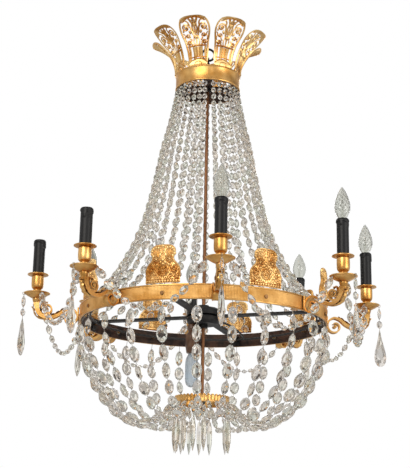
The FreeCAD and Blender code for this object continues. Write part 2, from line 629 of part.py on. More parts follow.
def candles():
    pan, cup, sleeve, holder, nipple = candle_parts()
    save("drip_pans", around(pan, ARMS, FIRST_ARM))
    save("candle_cups", around(cup, ARMS, FIRST_ARM))
    save("candle_nipples", around(nipple, ARMS, FIRST_ARM))
    for label, group in (("", LIT_ARMS), ("bare_", BARE_ARMS)):
        save(label + "candle_sleeves", [turned(sleeve, arm_angle(k)) for k in group])
        save(label + "lampholders", [turned(holder, arm_angle(k)) for k in group])
    for k in LIT_ARMS:
        tall = BULB_TALL_NEAR if k in NEAR_BULBS else BULB_TALL_FAR
        save("bulb_%d" % (k + 1), [turned(part, arm_angle(k)) for part in bulb(tall)])


# ---- strings of glass ---------------------------------------------------------------
def cut_glass(sections, flat=1.0, sides=CUT_SIDES):
    """Faceted solid through (radius, height) sections from low to high, pressed flat along X."""
    step = 2 * math.pi / sides
    rings = [[vec(flat * r * math.sin(step * i), r * math.cos(step * i), h) for i in range(sides)]
             for r, h in sections]
    loops = [rings[0], rings[-1]]
    for low, high in zip(rings, rings[1:]):
        loops += [[low[i - 1], low[i], high[i], high[i - 1]] for i in range(sides)]
    faces = [Part.Face(Part.makePolygon(loop + [loop[0]])) for loop in loops]
    solid = Part.Solid(Part.Shell(faces))
    if solid.Volume < 0:
        solid.reverse()
    return solid


def bead(wide, long, flat=1.0, sides=CUT_SIDES):
    tip, belly = CUT_TIP / flat, CUT_BELLY * long
    sections = [(tip, -long / 2), (wide / 2, -belly), (wide / 2, belly), (tip, long / 2)]
    return cut_glass(sections, flat, sides)


def aim(shape, place, direction, flat_to):
    """Move a shape from the origin so that its +Z follows direction and its +X faces flat_to."""
    z = FreeCAD.Vector(direction).normalize()
    y = z.cross(flat_to).normalize()
    x = y.cross(z)
    copy = shape.copy()
    copy.transformShape(FreeCAD.Matrix(x.x, y.x, z.x, place.x, x.y, y.y, z.y, place.y,
                                       x.z, y.z, z.z, place.z, 0, 0, 0, 1))
    return copy


def string(points, widths, lengths, flat_to, flat=1.0, sides=CUT_SIDES, cuts=1, lead=0.0):
    """Beads along a line of 3-D points, on a wire.  Returns the string as cuts + 1 solids."""
    wire = Part.makePolygon(points)
    total = wire.Length
    spare = (total - lead - sum(lengths)) / (len(lengths) + 1)
    fine = wire.discretize(Number=1 + int(total / 1.5))

    def place(s):
        i = min(max(s / total, 0.0), 1.0) * (len(fine) - 1)
        j = min(int(i), len(fine) - 2)
        return fine[j] + (fine[j + 1] - fine[j]) * (i - j)

    s, spots = lead, []
    for long in lengths:
        spots.append((s + spare, s + spare + long))
        s += spare + long
    breaks = [round(len(lengths) * (c + 1) / (cuts + 1)) for c in range(cuts)] + [len(lengths)]
    solids, first = [], 0
    for last in breaks:
        line = [place(0.0 if first == 0 else spots[first][0] - spare / 2)]
        line += [place(v) for i in range(first, last) for v in spots[i]]
        line += [place(total if last == len(lengths) else spots[last][0] - spare / 2)]
        pieces = []
        for i in range(0, len(line), 2):
            a, b = line[i], line[i + 1]
            along = (b - a).normalize() * WIRE_HOLD
            a = a if i == 0 else a - along
            b = b if i == len(line) - 2 else b + along
            half = (b - a).Length / 2
            pin = cut_glass([(WIRE_R, -half), (WIRE_R, half)], 1.0, PIN_SIDES)
            pieces.append(aim(pin, (a + b) * 0.5, b - a, flat_to))
        for i in range(first, last):
            a, b = place(spots[i][0]), place(spots[i][1])
            solid = bead(widths[i], (b - a).Length, flat, sides)
            pieces.append(aim(solid, (a + b) * 0.5, b - a, flat_to))
        solids.append(pieces[0].multiFuse(pieces[1:]).Solids[0])
        first = last
    return solids


def graded(start, end, count, total, gap):
    """Bead lengths that run evenly from start to end and fill a total with their gaps."""
    raw = [start + (end - start) * i / (count - 1) for i in range(count)]
    share = (total - gap * (count + 1)) / sum(raw)
    return [v * share for v in raw]


def radial_line(points, count):
    return [vec(r, 0, RING_Z + h) for r, h in curve_points(points, count)]


# Middle lines of the strings, (radius, height above the ring's lower edge).  They were drawn
# between two ends, and are stretched when the rings or the crown change.
TENT_TOP_GAP = 0.3
LOW_HOLD_UP = 4.0         # where a basket string meets the low ring, above its lower edge
TENT_DRAWN = [(72.8, 579.7), (82, 528), (94, 473), (105, 429), (118, 359), (131, 297), (146, 241),
              (163, 192), (184, 148), (209, 105), (238, 66), (262, 44), (278.2, 32.3)]
BASKET_DRAWN = [(278.2, 0.7), (283, -28), (281, -62), (265, -102), (249, -134), (233, -159),
                (216, -181), (196, -202), (174, -217), (152, -225), (130, -225), (108, -216),
                (86, -198), (62.6, -176)]


def stretched(drawn, start, end):
    """A drawn line, moved and stretched so that it runs from start to end."""
    wide = (end[0] - start[0]) / (drawn[-1][0] - drawn[0][0])
    tall = (end[1] - start[1]) / (drawn[-1][1] - drawn[0][1])
    inner = [(start[0] + wide * (r - drawn[0][0]), start[1] + tall * (h - drawn[0][1]))
             for r, h in drawn[1:-1]]
    return [start] + inner + [end]


TENT_LINE = stretched(TENT_DRAWN, (CROWN_LINER_R - 1.5, CROWN_UP + LINER_SHORT - TENT_TOP_GAP),
                      (RING_LINER_R - 1.5, RING_TALL - LINER_SHORT + TENT_TOP_GAP))
BASKET_LINE = stretched(BASKET_DRAWN, (RING_LINER_R - 1.5, LINER_SHORT - TENT_TOP_GAP),
                        (LOW_RING_R + TENT_TOP_GAP + WIRE_R, LOW_RING_UP + LOW_HOLD_UP))


BASKET_TAPER = [22.0, 20.0, 17.0, 14.0, 11.0]     # widths of the last beads, at the low ring


def tent():
    line = radial_line(TENT_LINE, 120)
    total = Part.makePolygon(line).Length
    count = round(2 * total / (TENT_TOP_BEAD[1] + TENT_LOW_BEAD[1] + 2 * BEAD_GAP))
    lengths = graded(TENT_TOP_BEAD[1], TENT_LOW_BEAD[1], count, total, BEAD_GAP)
    growth = (TENT_LOW_BEAD[0] - TENT_TOP_BEAD[0]) / (count - 1)
    widths = [TENT_TOP_BEAD[0] + growth * i for i in range(count)]
    solids = string(line, widths, lengths, vec(1, 0, 0), TENT_FLAT, TENT_SIDES)
    start = FIRST_ARM + 180.0 / TENT_COUNT
    save("tent_strings", [s for part in solids for s in around(part, TENT_COUNT, start)])
    print("tent string", count, "beads,", round(total), "mm")


def basket():
    line = radial_line(BASKET_LINE, 100)
    total = Part.makePolygon(line).Length
    beaded = total - BASKET_LEAD
    count = round(beaded / (BASKET_BEAD[1] + BEAD_GAP))
    lengths = graded(1 + BASKET_GRADE, 1 - BASKET_GRADE, count, beaded, BEAD_GAP)
    widths = [BASKET_BEAD[0]] * (count - len(BASKET_TAPER)) + BASKET_TAPER
    flat = BASKET_BEAD_THICK / BASKET_BEAD[0]
    solids = string(line, widths, lengths, vec(1, 0, 0.2), flat, lead=BASKET_LEAD)
    start = FIRST_ARM + 180.0 / BASKET_COUNT
    save("basket_strings", [s for part in solids for s in around(part, BASKET_COUNT, start)])
    print("basket string", count, "beads,", round(total), "mm")


def swag_line(k):
    """Hanging curve from one drip pan's rim to the next one's."""
    a, b = (math.radians(arm_angle(k + i)) for i in (0, 1))
    pans = [vec(ARM_REACH * math.cos(t), ARM_REACH * math.sin(t), 0) for t in (a, b)]
    toward = (pans[1] - pans[0]).normalize()
    low = vec(0, 0, RIM_Z - PAN_RIM - CURVED_GAP)
    start = pans[0] + toward * (PAN_R - SWAG_HOOK_IN) + low
    end = pans[1] - toward * (PAN_R - SWAG_HOOK_IN) + low
    line = []
    for i in range(61):
        t = i / 60.0
        drop = SWAG_SAGS[k] * (1 - (2 * t - 1) ** 2)
        line.append(start + (end - start) * t - vec(0, 0, drop))
    return line, toward.cross(UP)


def swags():
    solids = []
    for k in range(ARMS):
        line, outward = swag_line(k)
        total = Part.makePolygon(line).Length
        near = [abs(2.0 * i / (SWAG_BEADS - 1) - 1) for i in range(SWAG_BEADS)]
        grade = [n ** SWAG_GRADE for n in near]
        raw = [SWAG_MID_BEAD[1] + (SWAG_END_BEAD[1] - SWAG_MID_BEAD[1]) * g for g in grade]
        share = (total - BEAD_GAP * (SWAG_BEADS + 1)) / sum(raw)
        widths = [SWAG_MID_BEAD[0] + (SWAG_END_BEAD[0] - SWAG_MID_BEAD[0]) * g for g in grade]
        solids += string(line, widths, [v * share for v in raw], outward, cuts=2)
        print("swag", k + 1, round(total), "mm")
    save("swags", solids)


# ---- low ring and icicles -----------------------------------------------------------
LOW_Z = RING_Z + LOW_RING_UP
LOW_TOP = LOW_Z + LOW_RING_TALL
LOW_CROSS_Z = LOW_Z + 8.0
LOW_CROSS_THICK = 2.5
LOW_NUT_TALL = 6.0
ICICLE_HANG = 32.0        # low ring's underside to the icicle's top
ICICLE_BEAD = (11.0, 21.0)
ICICLE_BEAD_DROP = 16.0   # low ring's underside to the middle of the bead above the icicle
ICICLE_SHAPE = ((0.12, 0.0), (0.5, 0.145), (0.93, 0.342), (1.0, 0.72), (0.4, 1.0))


def low_ring():
    inner = LOW_RING_R - LOW_RING_THICK
    save("low_ring", [tube(LOW_RING_R, inner, LOW_Z, LOW_TOP)])
    body = cross(inner - CURVED_GAP, 8.0, LOW_CROSS_Z, LOW_CROSS_THICK, 9.0, ROD_R + ROD_GAP,
                 LOW_RING_TALL - 10.0, 2.0, FIRST_ARM)
    save("low_cross", [body])
    save("low_nut", [hexagon(14.0, LOW_CROSS_Z - LOW_NUT_TALL, LOW_CROSS_Z, ROD_R + ROD_GAP)])
    x = LOW_RING_R - LOW_RING_THICK / 2.0
    top = LOW_Z - 0.3
    point = LOW_Z - ICICLE_HANG
    low = point - ICICLE_TALL
    wire = rod(WIRE_R, top - point + 1, vec(x, 0, point - 1), UP)
    small = moved(bead(*ICICLE_BEAD), x=x, z=top - ICICLE_BEAD_DROP)
    sections = [(r * ICICLE_R, low + h * ICICLE_TALL) for r, h in ICICLE_SHAPE]
    icicle = moved(cut_glass(sections), x=x)
    save("icicles", around(fused([wire, small, icicle]), ICICLES, FIRST_ARM, ICICLE_LEFT_OUT))


# ---- pear drops under the drip pans -------------------------------------------------
DROP_TWISTS = (5, -30, 0, 20, 45, -25, 65, 10)
LINK_X = ARM_REACH + PAN_R - LINK_STRIP / 2.0
LINK_PIVOT_Z = RIM_Z - PAN_RIM / 2.0
LINK_RISE = 2.1           # link wire above the pivot
DROP_BEADS = ((10.0, 26.0), (14.0, 18.0))
PEAR_SHAPE = ((0.3, 0.2), (0.62, 0.4), (0.93, 0.6), (1.0, 0.73), (0.9, 0.86), (0.62, 0.95), (0.2, 1.0))


def pear():
    """Flat pear with its blunt top at the origin, hanging along -Z, flat sides square to Y."""
    half, tall = DROP_WIDE / 2.0, DROP_TALL
    flat = DROP_THICK / DROP_WIDE
    sections = [(half * r, -tall * h) for r, h in reversed(PEAR_SHAPE)] + [(CUT_TIP / flat, 0)]
    return turned(cut_glass(sections, flat), 90)


def drops():
    centre = LINK_PIVOT_Z + LINK_RISE - LINK_R
    z = centre - LINK_R
    link = Part.makeTorus(LINK_R, LINK_WIRE, vec(LINK_X, 0, centre), vec(0, 1, 0))
    pieces = []
    for wide, long in DROP_BEADS:
        z -= BEAD_GAP
        pieces.append(moved(bead(wide, long), x=LINK_X, z=z - long / 2.0))
        z -= long
    z -= BEAD_GAP
    wire = rod(WIRE_R, centre - LINK_R - z + 3.0, vec(LINK_X, 0, z - 3.0), UP)
    for k in range(ARMS):
        glass = pear()
        glass.rotate(HERE, UP, DROP_TWISTS[k])
        body = fused([link, wire, moved(glass, x=LINK_X, z=z)] + pieces)
        save("pear_drop_%d" % (k + 1), [turned(body, arm_angle(k))])
    print("pear drop pivot", LINK_X, LINK_PIVOT_Z, "lowest", z - DROP_TALL)


save("hanging_ring", [hanging_ring()])
save("hook_eye", [hook_eye()])
save("central_rod", [rod(ROD_R, ROD_TOP - ROD_LOW, vec(0, 0, ROD_LOW), UP)])
crown()
crown_cross()
main_ring()
hub()
inner_lamp()
wiring()
arms()
candles()
tent()
basket()
swags()
low_ring()
drops()
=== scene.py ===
# %% [markdown]
# # A gilt chandelier with strings of cut glass
# The metal frame of the chandelier comes from its CAD model.  This script loads that model as a
# fixed frame, gives each metal part its finish, and replaces the simple solids of glass, scrolls
# and leaves with finely modelled ones that ride on the same bodies.  Lengths are in metres and
# +Z is up.  The origin is the top of the hanging ring, where a ceiling hook would hold it.

# %% Load the frame
import math
import random

import bmesh
import bpy
from mathutils import Matrix, Vector


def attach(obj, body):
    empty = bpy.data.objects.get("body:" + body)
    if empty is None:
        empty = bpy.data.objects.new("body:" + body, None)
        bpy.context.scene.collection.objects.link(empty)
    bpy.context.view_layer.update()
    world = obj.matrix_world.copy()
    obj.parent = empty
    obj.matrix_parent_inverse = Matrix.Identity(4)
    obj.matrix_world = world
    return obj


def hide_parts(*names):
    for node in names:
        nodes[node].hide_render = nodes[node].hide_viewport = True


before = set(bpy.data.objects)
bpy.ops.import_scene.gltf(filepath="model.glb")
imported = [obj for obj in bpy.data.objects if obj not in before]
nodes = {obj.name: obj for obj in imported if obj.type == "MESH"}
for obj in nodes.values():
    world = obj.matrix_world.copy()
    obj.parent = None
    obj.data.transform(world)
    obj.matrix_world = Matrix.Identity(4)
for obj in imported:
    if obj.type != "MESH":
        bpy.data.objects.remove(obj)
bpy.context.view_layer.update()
scene = bpy.context.scene
MM = 0.001
print("frame loaded:", len(nodes), "CAD nodes")

# %% [markdown]
# ## Camera
# The photograph was taken from below, with a long lens.  Its place was found by matching the
# main ring, the crown and the arms' candles with the picture: 2.49 m away, 1.18 m under the hook,
# turned 4.7 degrees to the right and 16 degrees up.  The picture leans by a degree, so the
# camera rolls by as much.  A camera looks along its own -Z, so its axes are worked out from the
# line of sight and set as the columns of its matrix.

# %% Camera
PICTURE_TALL = 468
FOCAL_PIXELS = 1101.3
SENSOR_MM = 36.0
CAMERA_AT = Vector((-0.205, -2.478, -1.1816))
HEADING = math.radians(4.73)
PITCH = math.radians(15.95)
ROLL = math.radians(1.05)

camera_data = bpy.data.cameras.new("camera")
camera_data.lens = FOCAL_PIXELS / PICTURE_TALL * SENSOR_MM
camera_data.sensor_width = SENSOR_MM
camera = bpy.data.objects.new("camera", camera_data)
scene.collection.objects.link(camera)
sight = Vector((math.sin(HEADING) * math.cos(PITCH), math.cos(HEADING) * math.cos(PITCH),
                math.sin(PITCH)))
level = sight.cross(Vector((0, 0, 1))).normalized()
above = level.cross(sight)
right = level * math.cos(ROLL) + above * math.sin(ROLL)
upward = above * math.cos(ROLL) - level * math.sin(ROLL)
axes = Matrix((right, upward, -sight)).transposed()
camera.matrix_world = Matrix.Translation(CAMERA_AT) @ axes.to_4x4()
scene.camera = camera
print("camera: lens of", round(camera_data.lens, 1), "mm at", tuple(CAMERA_AT))

# %% [markdown]
# ## Room
# A pale floor lies well below the chandelier.

# %% Floor
FLOOR_Z = -3.8
FLOOR_R = 9.0
PALE = (0.82, 0.81, 0.80, 1.0)

floor_shape = bmesh.new()
bmesh.ops.create_circle(floor_shape, cap_ends=True, segments=96, radius=FLOOR_R)
bmesh.ops.translate(floor_shape, vec=(0, 0, FLOOR_Z), verts=floor_shape.verts)
floor_mesh = bpy.data.meshes.new("floor")
floor_shape.to_mesh(floor_mesh)
floor_shape.free()
floor = bpy.data.objects.new("floor", floor_mesh)
scene.collection.objects.link(floor)
floor_paint = bpy.data.materials.new("floor_paint")
floor_paint.use_nodes = True
floor_shader = floor_paint.node_tree.nodes["Principled BSDF"]
floor_shader.inputs["Base Color"].default_value = PALE
floor_shader.inputs["Roughness"].default_value = 0.9
floor_mesh.materials.append(floor_paint)
print("floor:", round(-FLOOR_Z, 1), "m under the hook")

# %% [markdown]
# **The world** is white to the camera, and nearly white to rays that leave metal or glass.  Clear
# glass in front of an even white field would be invisible, so a photographer leaves grey gaps
# between the light panels, and each facet then shows a bright panel or a gap.  The world does the
# same with soft grey patches, which only glossy and transmission rays see.  Light Path says which
# kind a ray is, and all other rays get the plain light of the room.

# %% World
PANEL_GREY = (0.26, 0.25, 0.235, 1)
WHITE = (1, 1, 1, 1)


def link(tree, source, target):
    tree.links.new(source, target)


def larger_of(tree, first, second):
    """Output that is the larger one of two."""
    larger = tree.nodes.new("ShaderNodeMath")
    larger.operation = "MAXIMUM"
    link(tree, first, larger.inputs[0])
    link(tree, second, larger.inputs[1])
    return larger.outputs[0]


world = bpy.data.worlds.new("studio")
world.use_nodes = True
scene.world = world
sky = world.node_tree
sky.nodes.clear()
output = sky.nodes.new("ShaderNodeOutputWorld")
camera_white = sky.nodes.new("ShaderNodeBackground")
camera_white.inputs["Strength"].default_value = 1.0
room_light = sky.nodes.new("ShaderNodeBackground")
room_light.inputs["Color"].default_value = (0.93, 0.95, 1.0, 1.0)
room_light.inputs["Strength"].default_value = 0.55
choose = sky.nodes.new("ShaderNodeMixShader")
path = sky.nodes.new("ShaderNodeLightPath")
seen = larger_of(sky, path.outputs["Is Camera Ray"], path.outputs["Is Glossy Ray"])
link(sky, larger_of(sky, seen, path.outputs["Is Transmission Ray"]), choose.inputs[0])
link(sky, room_light.outputs[0], choose.inputs[1])
link(sky, camera_white.outputs[0], choose.inputs[2])
link(sky, choose.outputs[0], output.inputs["Surface"])

where = sky.nodes.new("ShaderNodeTexCoord")
panels = sky.nodes.new("ShaderNodeTexNoise")
panels.inputs["Scale"].default_value = 3.0
panels.inputs["Detail"].default_value = 0.6
panel_tones = sky.nodes.new("ShaderNodeValToRGB")
panel_tones.color_ramp.elements[0].position = 0.38
panel_tones.color_ramp.elements[0].color = PANEL_GREY
panel_tones.color_ramp.elements[1].position = 0.60
panel_tones.color_ramp.elements[1].color = WHITE
pick = sky.nodes.new("ShaderNodeMix")
pick.data_type = "RGBA"
pick.inputs["B"].default_value = WHITE
link(sky, where.outputs["Generated"], panels.inputs["Vector"])
link(sky, panels.outputs["Fac"], panel_tones.inputs["Fac"])
link(sky, path.outputs["Is Camera Ray"], pick.inputs["Factor"])
link(sky, panel_tones.outputs["Color"], pick.inputs["A"])
link(sky, pick.outputs["Result"], camera_white.inputs["Color"])
print("world:", len(sky.nodes), "nodes")

# %% [markdown]
# **Lamps.**  A large soft lamp stands at the left, a weaker one at the right, and one behind the
# chandelier.  They are hidden from rays that pass through glass, because a lamp behind a bead or
# a bulb would wash out its colour.  Light goes through many beads in a row, so Cycles may follow
# it through more surfaces than it does by itself.

# %% Lamps
def lamp(name, place, target, size, power, colour=(1, 1, 1)):
    data = bpy.data.lights.new(name, "AREA")
    data.shape = "DISK"
    data.size = size
    data.energy = power
    data.color = colour
    thing = bpy.data.objects.new(name, data)
    scene.collection.objects.link(thing)
    aim = (Vector(target) - Vector(place)).to_track_quat("-Z", "Y")
    thing.matrix_world = Matrix.Translation(place) @ aim.to_matrix().to_4x4()
    thing.visible_transmission = False


lamp("key", (-1.6, -3.0, 0.9), (0, 0, -0.6), 2.2, 62, (1.0, 0.96, 0.90))
lamp("fill", (2.4, -2.2, -0.2), (0, 0, -0.6), 1.6, 26, (1.0, 0.97, 0.93))
lamp("back", (0.6, 2.8, 0.6), (0, 0, -0.5), 1.8, 26)

scene.view_settings.view_transform = "Standard"
scene.cycles.transmission_bounces = 24
scene.cycles.max_bounces = 26
scene.cycles.glossy_bounces = 8
print("lamps:", [data.name for data in bpy.data.lights])

# %% [markdown]
# ## Finishes
# Every finish is a small network of nodes on one Principled shader.  Patterns read Object
# coordinates: all pieces sit at the origin unturned, so a pattern has the same scale, in
# metres, on each of them.  The helpers below make the usual links of such a network: a noise,
# a ramp that turns it into colours, and a bump.

# %% Helpers for materials
def finish_of(name, **values):
    """A new material, with plain values set on its Principled shader."""
    material = bpy.data.materials.new(name)
    material.use_nodes = True
    shader = material.node_tree.nodes["Principled BSDF"]
    for key, value in values.items():
        shader.inputs[key.replace("_", " ")].default_value = value
    return material, material.node_tree, shader


def noise_of(tree, scale, detail=2.0, stretch=(1, 1, 1), rough=0.5):
    """Noise on Object coordinates.  The scale is in cells a metre."""
    place = tree.nodes.new("ShaderNodeTexCoord")
    mapping = tree.nodes.new("ShaderNodeMapping")
    mapping.inputs["Scale"].default_value = stretch
    texture = tree.nodes.new("ShaderNodeTexNoise")
    texture.inputs["Scale"].default_value = scale
    texture.inputs["Detail"].default_value = detail
    texture.inputs["Roughness"].default_value = rough
    link(tree, place.outputs["Object"], mapping.inputs["Vector"])
    link(tree, mapping.outputs["Vector"], texture.inputs["Vector"])
    return texture.outputs["Fac"]


def ramp_of(tree, value, *stops):
    """Colour ramp through (position, colour) stops."""
    ramp = tree.nodes.new("ShaderNodeValToRGB")
    elements = ramp.color_ramp.elements
    while len(elements) < len(stops):
        elements.new(0.5)
    for element, (position, colour) in zip(elements, stops):
        element.position = position
        element.color = (*colour, 1.0)
    link(tree, value, ramp.inputs["Fac"])
    return ramp.outputs["Color"]


def blend_of(tree, amount, first, second, kind="MIX"):
    """Mix of two colours.  The amount is a number or an output of a node."""
    mix = tree.nodes.new("ShaderNodeMix")
    mix.data_type = "RGBA"
    mix.blend_type = kind
    for key, value in (("Factor", amount), ("A", first), ("B", second)):
        if isinstance(value, bpy.types.NodeSocket):
            link(tree, value, mix.inputs[key])
        elif key == "Factor":
            mix.inputs[key].default_value = value
        else:
            mix.inputs[key].default_value = (*value, 1.0)
    return mix.outputs["Result"]


def bump_of(tree, shader, height, strength, depth):
    bump = tree.nodes.new("ShaderNodeBump")
    bump.inputs["Strength"].default_value = strength
    bump.inputs["Distance"].default_value = depth
    link(tree, height, bump.inputs["Height"])
    link(tree, bump.outputs["Normal"], shader.inputs["Normal"])


def grey(tree, value, low, high):
    """A value from 0 to 1 spread over another range."""
    spread = tree.nodes.new("ShaderNodeMapRange")
    spread.inputs["To Min"].default_value = low
    spread.inputs["To Max"].default_value = high
    link(tree, value, spread.inputs["Value"])
    return spread.outputs["Result"]


# %% [markdown]
# ** Fire-gilt bronze** is warm yellow where it was burnished, and its hollows are painted orange
# to brown as shade.  A painted texture could do this, but an Ambient Occlusion node finds the
# hollows of any shape by itself and darkens the colour there, so one finish suits the scrolls,
# leaves and plain bands alike.  Noise adds the soft patches of a hand-gilt surface.  The crown's
# leaves and the mounts are paler, and their small hollows need a shorter reach of painted shade.

# %% Gilt
GOLD_BRIGHT = (0.84, 0.50, 0.175)
GOLD_DEEP = (0.58, 0.285, 0.07)
# Painted shade in the hollows of plain gilding
GOLD_PAINTED_SHADE = (0.22, 0.075, 0.014)
GOLD_CAST = (0.98, 0.67, 0.29)
# Painted shade in the hollows of cast gilding
CAST_PAINTED_SHADE = (0.42, 0.18, 0.04)


def gilt_finish(name, roughness, grain, shade_reach=0.006, bright=GOLD_BRIGHT, painted_shade=GOLD_PAINTED_SHADE):
    """Gilding with painted shade in its recesses.  Grain is the fineness of its bump, shade_reach the
    size of a shaded recess in metres.
    """
    material, tree, shader = finish_of(name, Metallic=1.0)
    patches = ramp_of(tree, noise_of(tree, 26.0, 3.0), (0.36, GOLD_DEEP), (0.60, bright))
    # Painted shade: Ambient Occlusion finds the hollows, and depth turns their colour to the shade colour
    hollows = tree.nodes.new("ShaderNodeAmbientOcclusion")
    hollows.samples = 6
    hollows.inputs["Distance"].default_value = shade_reach
    depth = ramp_of(tree, hollows.outputs["AO"], (0.30, (1, 1, 1)), (0.86, (0, 0, 0)))
    colour = blend_of(tree, depth, patches, painted_shade)
    link(tree, colour, shader.inputs["Base Color"])
    link(tree, grey(tree, noise_of(tree, 90.0, 3.0), roughness - 0.07, roughness + 0.12),
         shader.inputs["Roughness"])
    bump_of(tree, shader, noise_of(tree, grain, 2.0), 0.22, 0.0003)
    return material


gilt = gilt_finish("gilt", 0.30, 700.0)
gilt_smooth = gilt_finish("gilt_smooth", 0.32, 300.0)
gilt_matt = gilt_finish("gilt_matt", 0.40, 1100.0, 0.002)
gilt_cast = gilt_finish("gilt_cast", 0.34, 900.0, 0.0028, GOLD_CAST, CAST_PAINTED_SHADE)
print("gilt finishes:", [m.name for m in (gilt, gilt_smooth, gilt_matt, gilt_cast)])

# %% [markdown]
# **Iron and copper** parts hold the ornaments.  The hanging ring, its coupling, the junction box
# and the ring's cross bars are black.  The liners and the other two crosses are a dark brown that
# shows rust through worn paint, and the rod is dull copper.  All have uneven roughness, which is
# what makes old metal look old.  The same network, less metallic, serves for the brown and black
# holders and for the candles.

# %% Iron, copper and brown parts
def dark_finish(name, dark, light, scale, metallic, roughness, bump=0.25, stretch=(1, 1, 1)):
    """Stained surface between a dark and a light colour."""
    material, tree, shader = finish_of(name, Metallic=metallic)
    stains = noise_of(tree, scale, 5.0, stretch, 0.6)
    link(tree, ramp_of(tree, stains, (0.38, dark), (0.68, light)), shader.inputs["Base Color"])
    link(tree, grey(tree, stains, roughness - 0.1, roughness + 0.15), shader.inputs["Roughness"])
    bump_of(tree, shader, noise_of(tree, scale * 9, 4.0), bump, 0.0004)
    return material


iron = dark_finish("iron", (0.008, 0.008, 0.009), (0.030, 0.026, 0.023), 60.0, 0.35, 0.48)
brown_iron = dark_finish("brown_iron", (0.020, 0.010, 0.007), (0.105, 0.047, 0.026), 38.0, 0.30, 0.55)
copper = dark_finish("copper", (0.17, 0.075, 0.035), (0.36, 0.17, 0.08), 45.0, 0.9, 0.40,
                     stretch=(1, 1, 0.12))
old_brass = dark_finish("old_brass", (0.16, 0.08, 0.03), (0.36, 0.19, 0.07), 90.0, 0.8, 0.45)
bakelite = dark_finish("bakelite", (0.10, 0.042, 0.018), (0.20, 0.10, 0.05), 70.0, 0.0, 0.34, 0.1)
holder_black = dark_finish("holder_black", (0.012, 0.011, 0.010), (0.035, 0.030, 0.026), 120.0, 0.0, 0.4)
rubber = dark_finish("rubber", (0.014, 0.012, 0.011), (0.040, 0.034, 0.030), 200.0, 0.0, 0.55)
steel = dark_finish("steel", (0.30, 0.27, 0.22), (0.55, 0.50, 0.42), 150.0, 0.9, 0.38, 0.1)
candle_black = dark_finish("candle_black", (0.004, 0.004, 0.0045), (0.013, 0.0125, 0.0125), 34.0,
                           0.0, 0.40, 0.35, (1, 1, 0.18))
candle_black.node_tree.nodes["Principled BSDF"].inputs["Specular IOR Level"].default_value = 0.3
print("dark finishes:", [m.name for m in (iron, brown_iron, copper, old_brass, bakelite, holder_black,
                                          rubber, steel, candle_black)])

# %% [markdown]
# ** Cut glass** isn't colourless: old glass with dust on it is a warm grey, with pink and green
# casts from bead to bead.  The colour of a Principled shader tints what passes through, so a
# noise with cells the size of a bead gives the casts.  The dark outline of each facet is painted
# shade: Layer Weight's Facing darkens the glass where a facet is seen on edge.  A little roughness
# stands for the dust.  The bulbs use the same network: clear and greenish, or frosted and bluish.

# %% Glass
GLASS_CLEAR = (0.95, 0.90, 0.80)
# Painted shade of the facet outlines of the crystal
GLASS_PAINTED_OUTLINE = (0.34, 0.31, 0.265)


def glass_finish(name, ior, edge, casts, roughness, outline_shade_start=0.45):
    """Glass that is tinted by its casts, and darkened towards the edge colour, a painted shade, where it
    is seen edge-on.
    """
    material, tree, shader = finish_of(name, IOR=ior, Roughness=roughness)
    shader.inputs["Transmission Weight"].default_value = 1.0
    tint = ramp_of(tree, noise_of(tree, 33.0, 0.0), *casts)
    # Painted shade: Layer Weight's Facing turns the colour towards the edge colour where a facet is seen
    # edge-on
    facing = tree.nodes.new("ShaderNodeLayerWeight")
    facing.inputs["Blend"].default_value = 0.5
    outline = ramp_of(tree, facing.outputs["Facing"], (outline_shade_start, (0, 0, 0)), (0.97, (1, 1, 1)))
    link(tree, blend_of(tree, outline, tint, edge), shader.inputs["Base Color"])
    return material


crystal = glass_finish("crystal", 1.52, GLASS_PAINTED_OUTLINE,
                       ((0.34, (0.87, 0.885, 0.80)), (0.46, GLASS_CLEAR), (0.55, (0.92, 0.83, 0.73)),
                        (0.68, (0.86, 0.83, 0.79))), 0.07, 0.5)
# The bulbs' edge colours are painted shade on their outlines too
bulb_clear = glass_finish("bulb_clear", 1.46, (0.40, 0.41, 0.39),
                          ((0.4, (0.91, 0.92, 0.88)), (0.6, (0.94, 0.94, 0.90))), 0.03)
frosted = glass_finish("frosted", 1.46, (0.62, 0.68, 0.74),
                       ((0.4, (0.80, 0.88, 0.95)), (0.6, (0.90, 0.94, 0.97))), 0.42)
print("glass finishes:", [m.name for m in (crystal, bulb_clear, frosted)])

# %% [markdown]
# ## Tools of the workshop
# Each new piece starts as a bmesh.  These helpers finish it: they point its faces outwards, give
# it smooth shading between sharp edges, and hang it on its body in the frame, in place of the
# CAD nodes that it stands for.

# %% Helpers for pieces
RING_Z = -690 * MM            # lower edge of the main ring
ARMS = 8
ARM_STEP = math.radians(45)
FRONT = math.radians(-90)
SHARP = math.radians(38)
Z_AXIS = Vector((0, 0, 1))
random.seed(11)


def arm_angle(k):
    return FRONT + ARM_STEP * k


def about_z(angle):
    return Matrix.Rotation(angle, 4, "Z")


def new_piece(name, mesh, material, body, slot, *replaced, faceted=False):
    """Object for a finished mesh, on its body, standing for CAD nodes."""
    if not faceted:
        mesh.shade_smooth()
        mesh.set_sharp_from_angle(angle=SHARP)
    mesh.materials.clear()
    mesh.materials.append(material)
    thing = bpy.data.objects.new(name, mesh)
    scene.collection.objects.link(thing)
    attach(thing, body)
    if replaced:
        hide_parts(*replaced)
    return thing


# %% [markdown]
# **Meshes and lines.**  The shapes of this chandelier are mostly turned on a lathe, swept along a
# line or repeated round the axis.  Blender can do each by a modifier, but the meshes here are
# final, with their place in them, so short functions do it once.

# %% Helpers for meshes and lines
def to_mesh(shape, name="part", outward=True):
    """Mesh of a finished bmesh, its faces turned outwards."""
    if outward:
        bmesh.ops.recalc_face_normals(shape, faces=shape.faces)
    mesh = bpy.data.meshes.new(name)
    shape.to_mesh(mesh)
    shape.free()
    return mesh


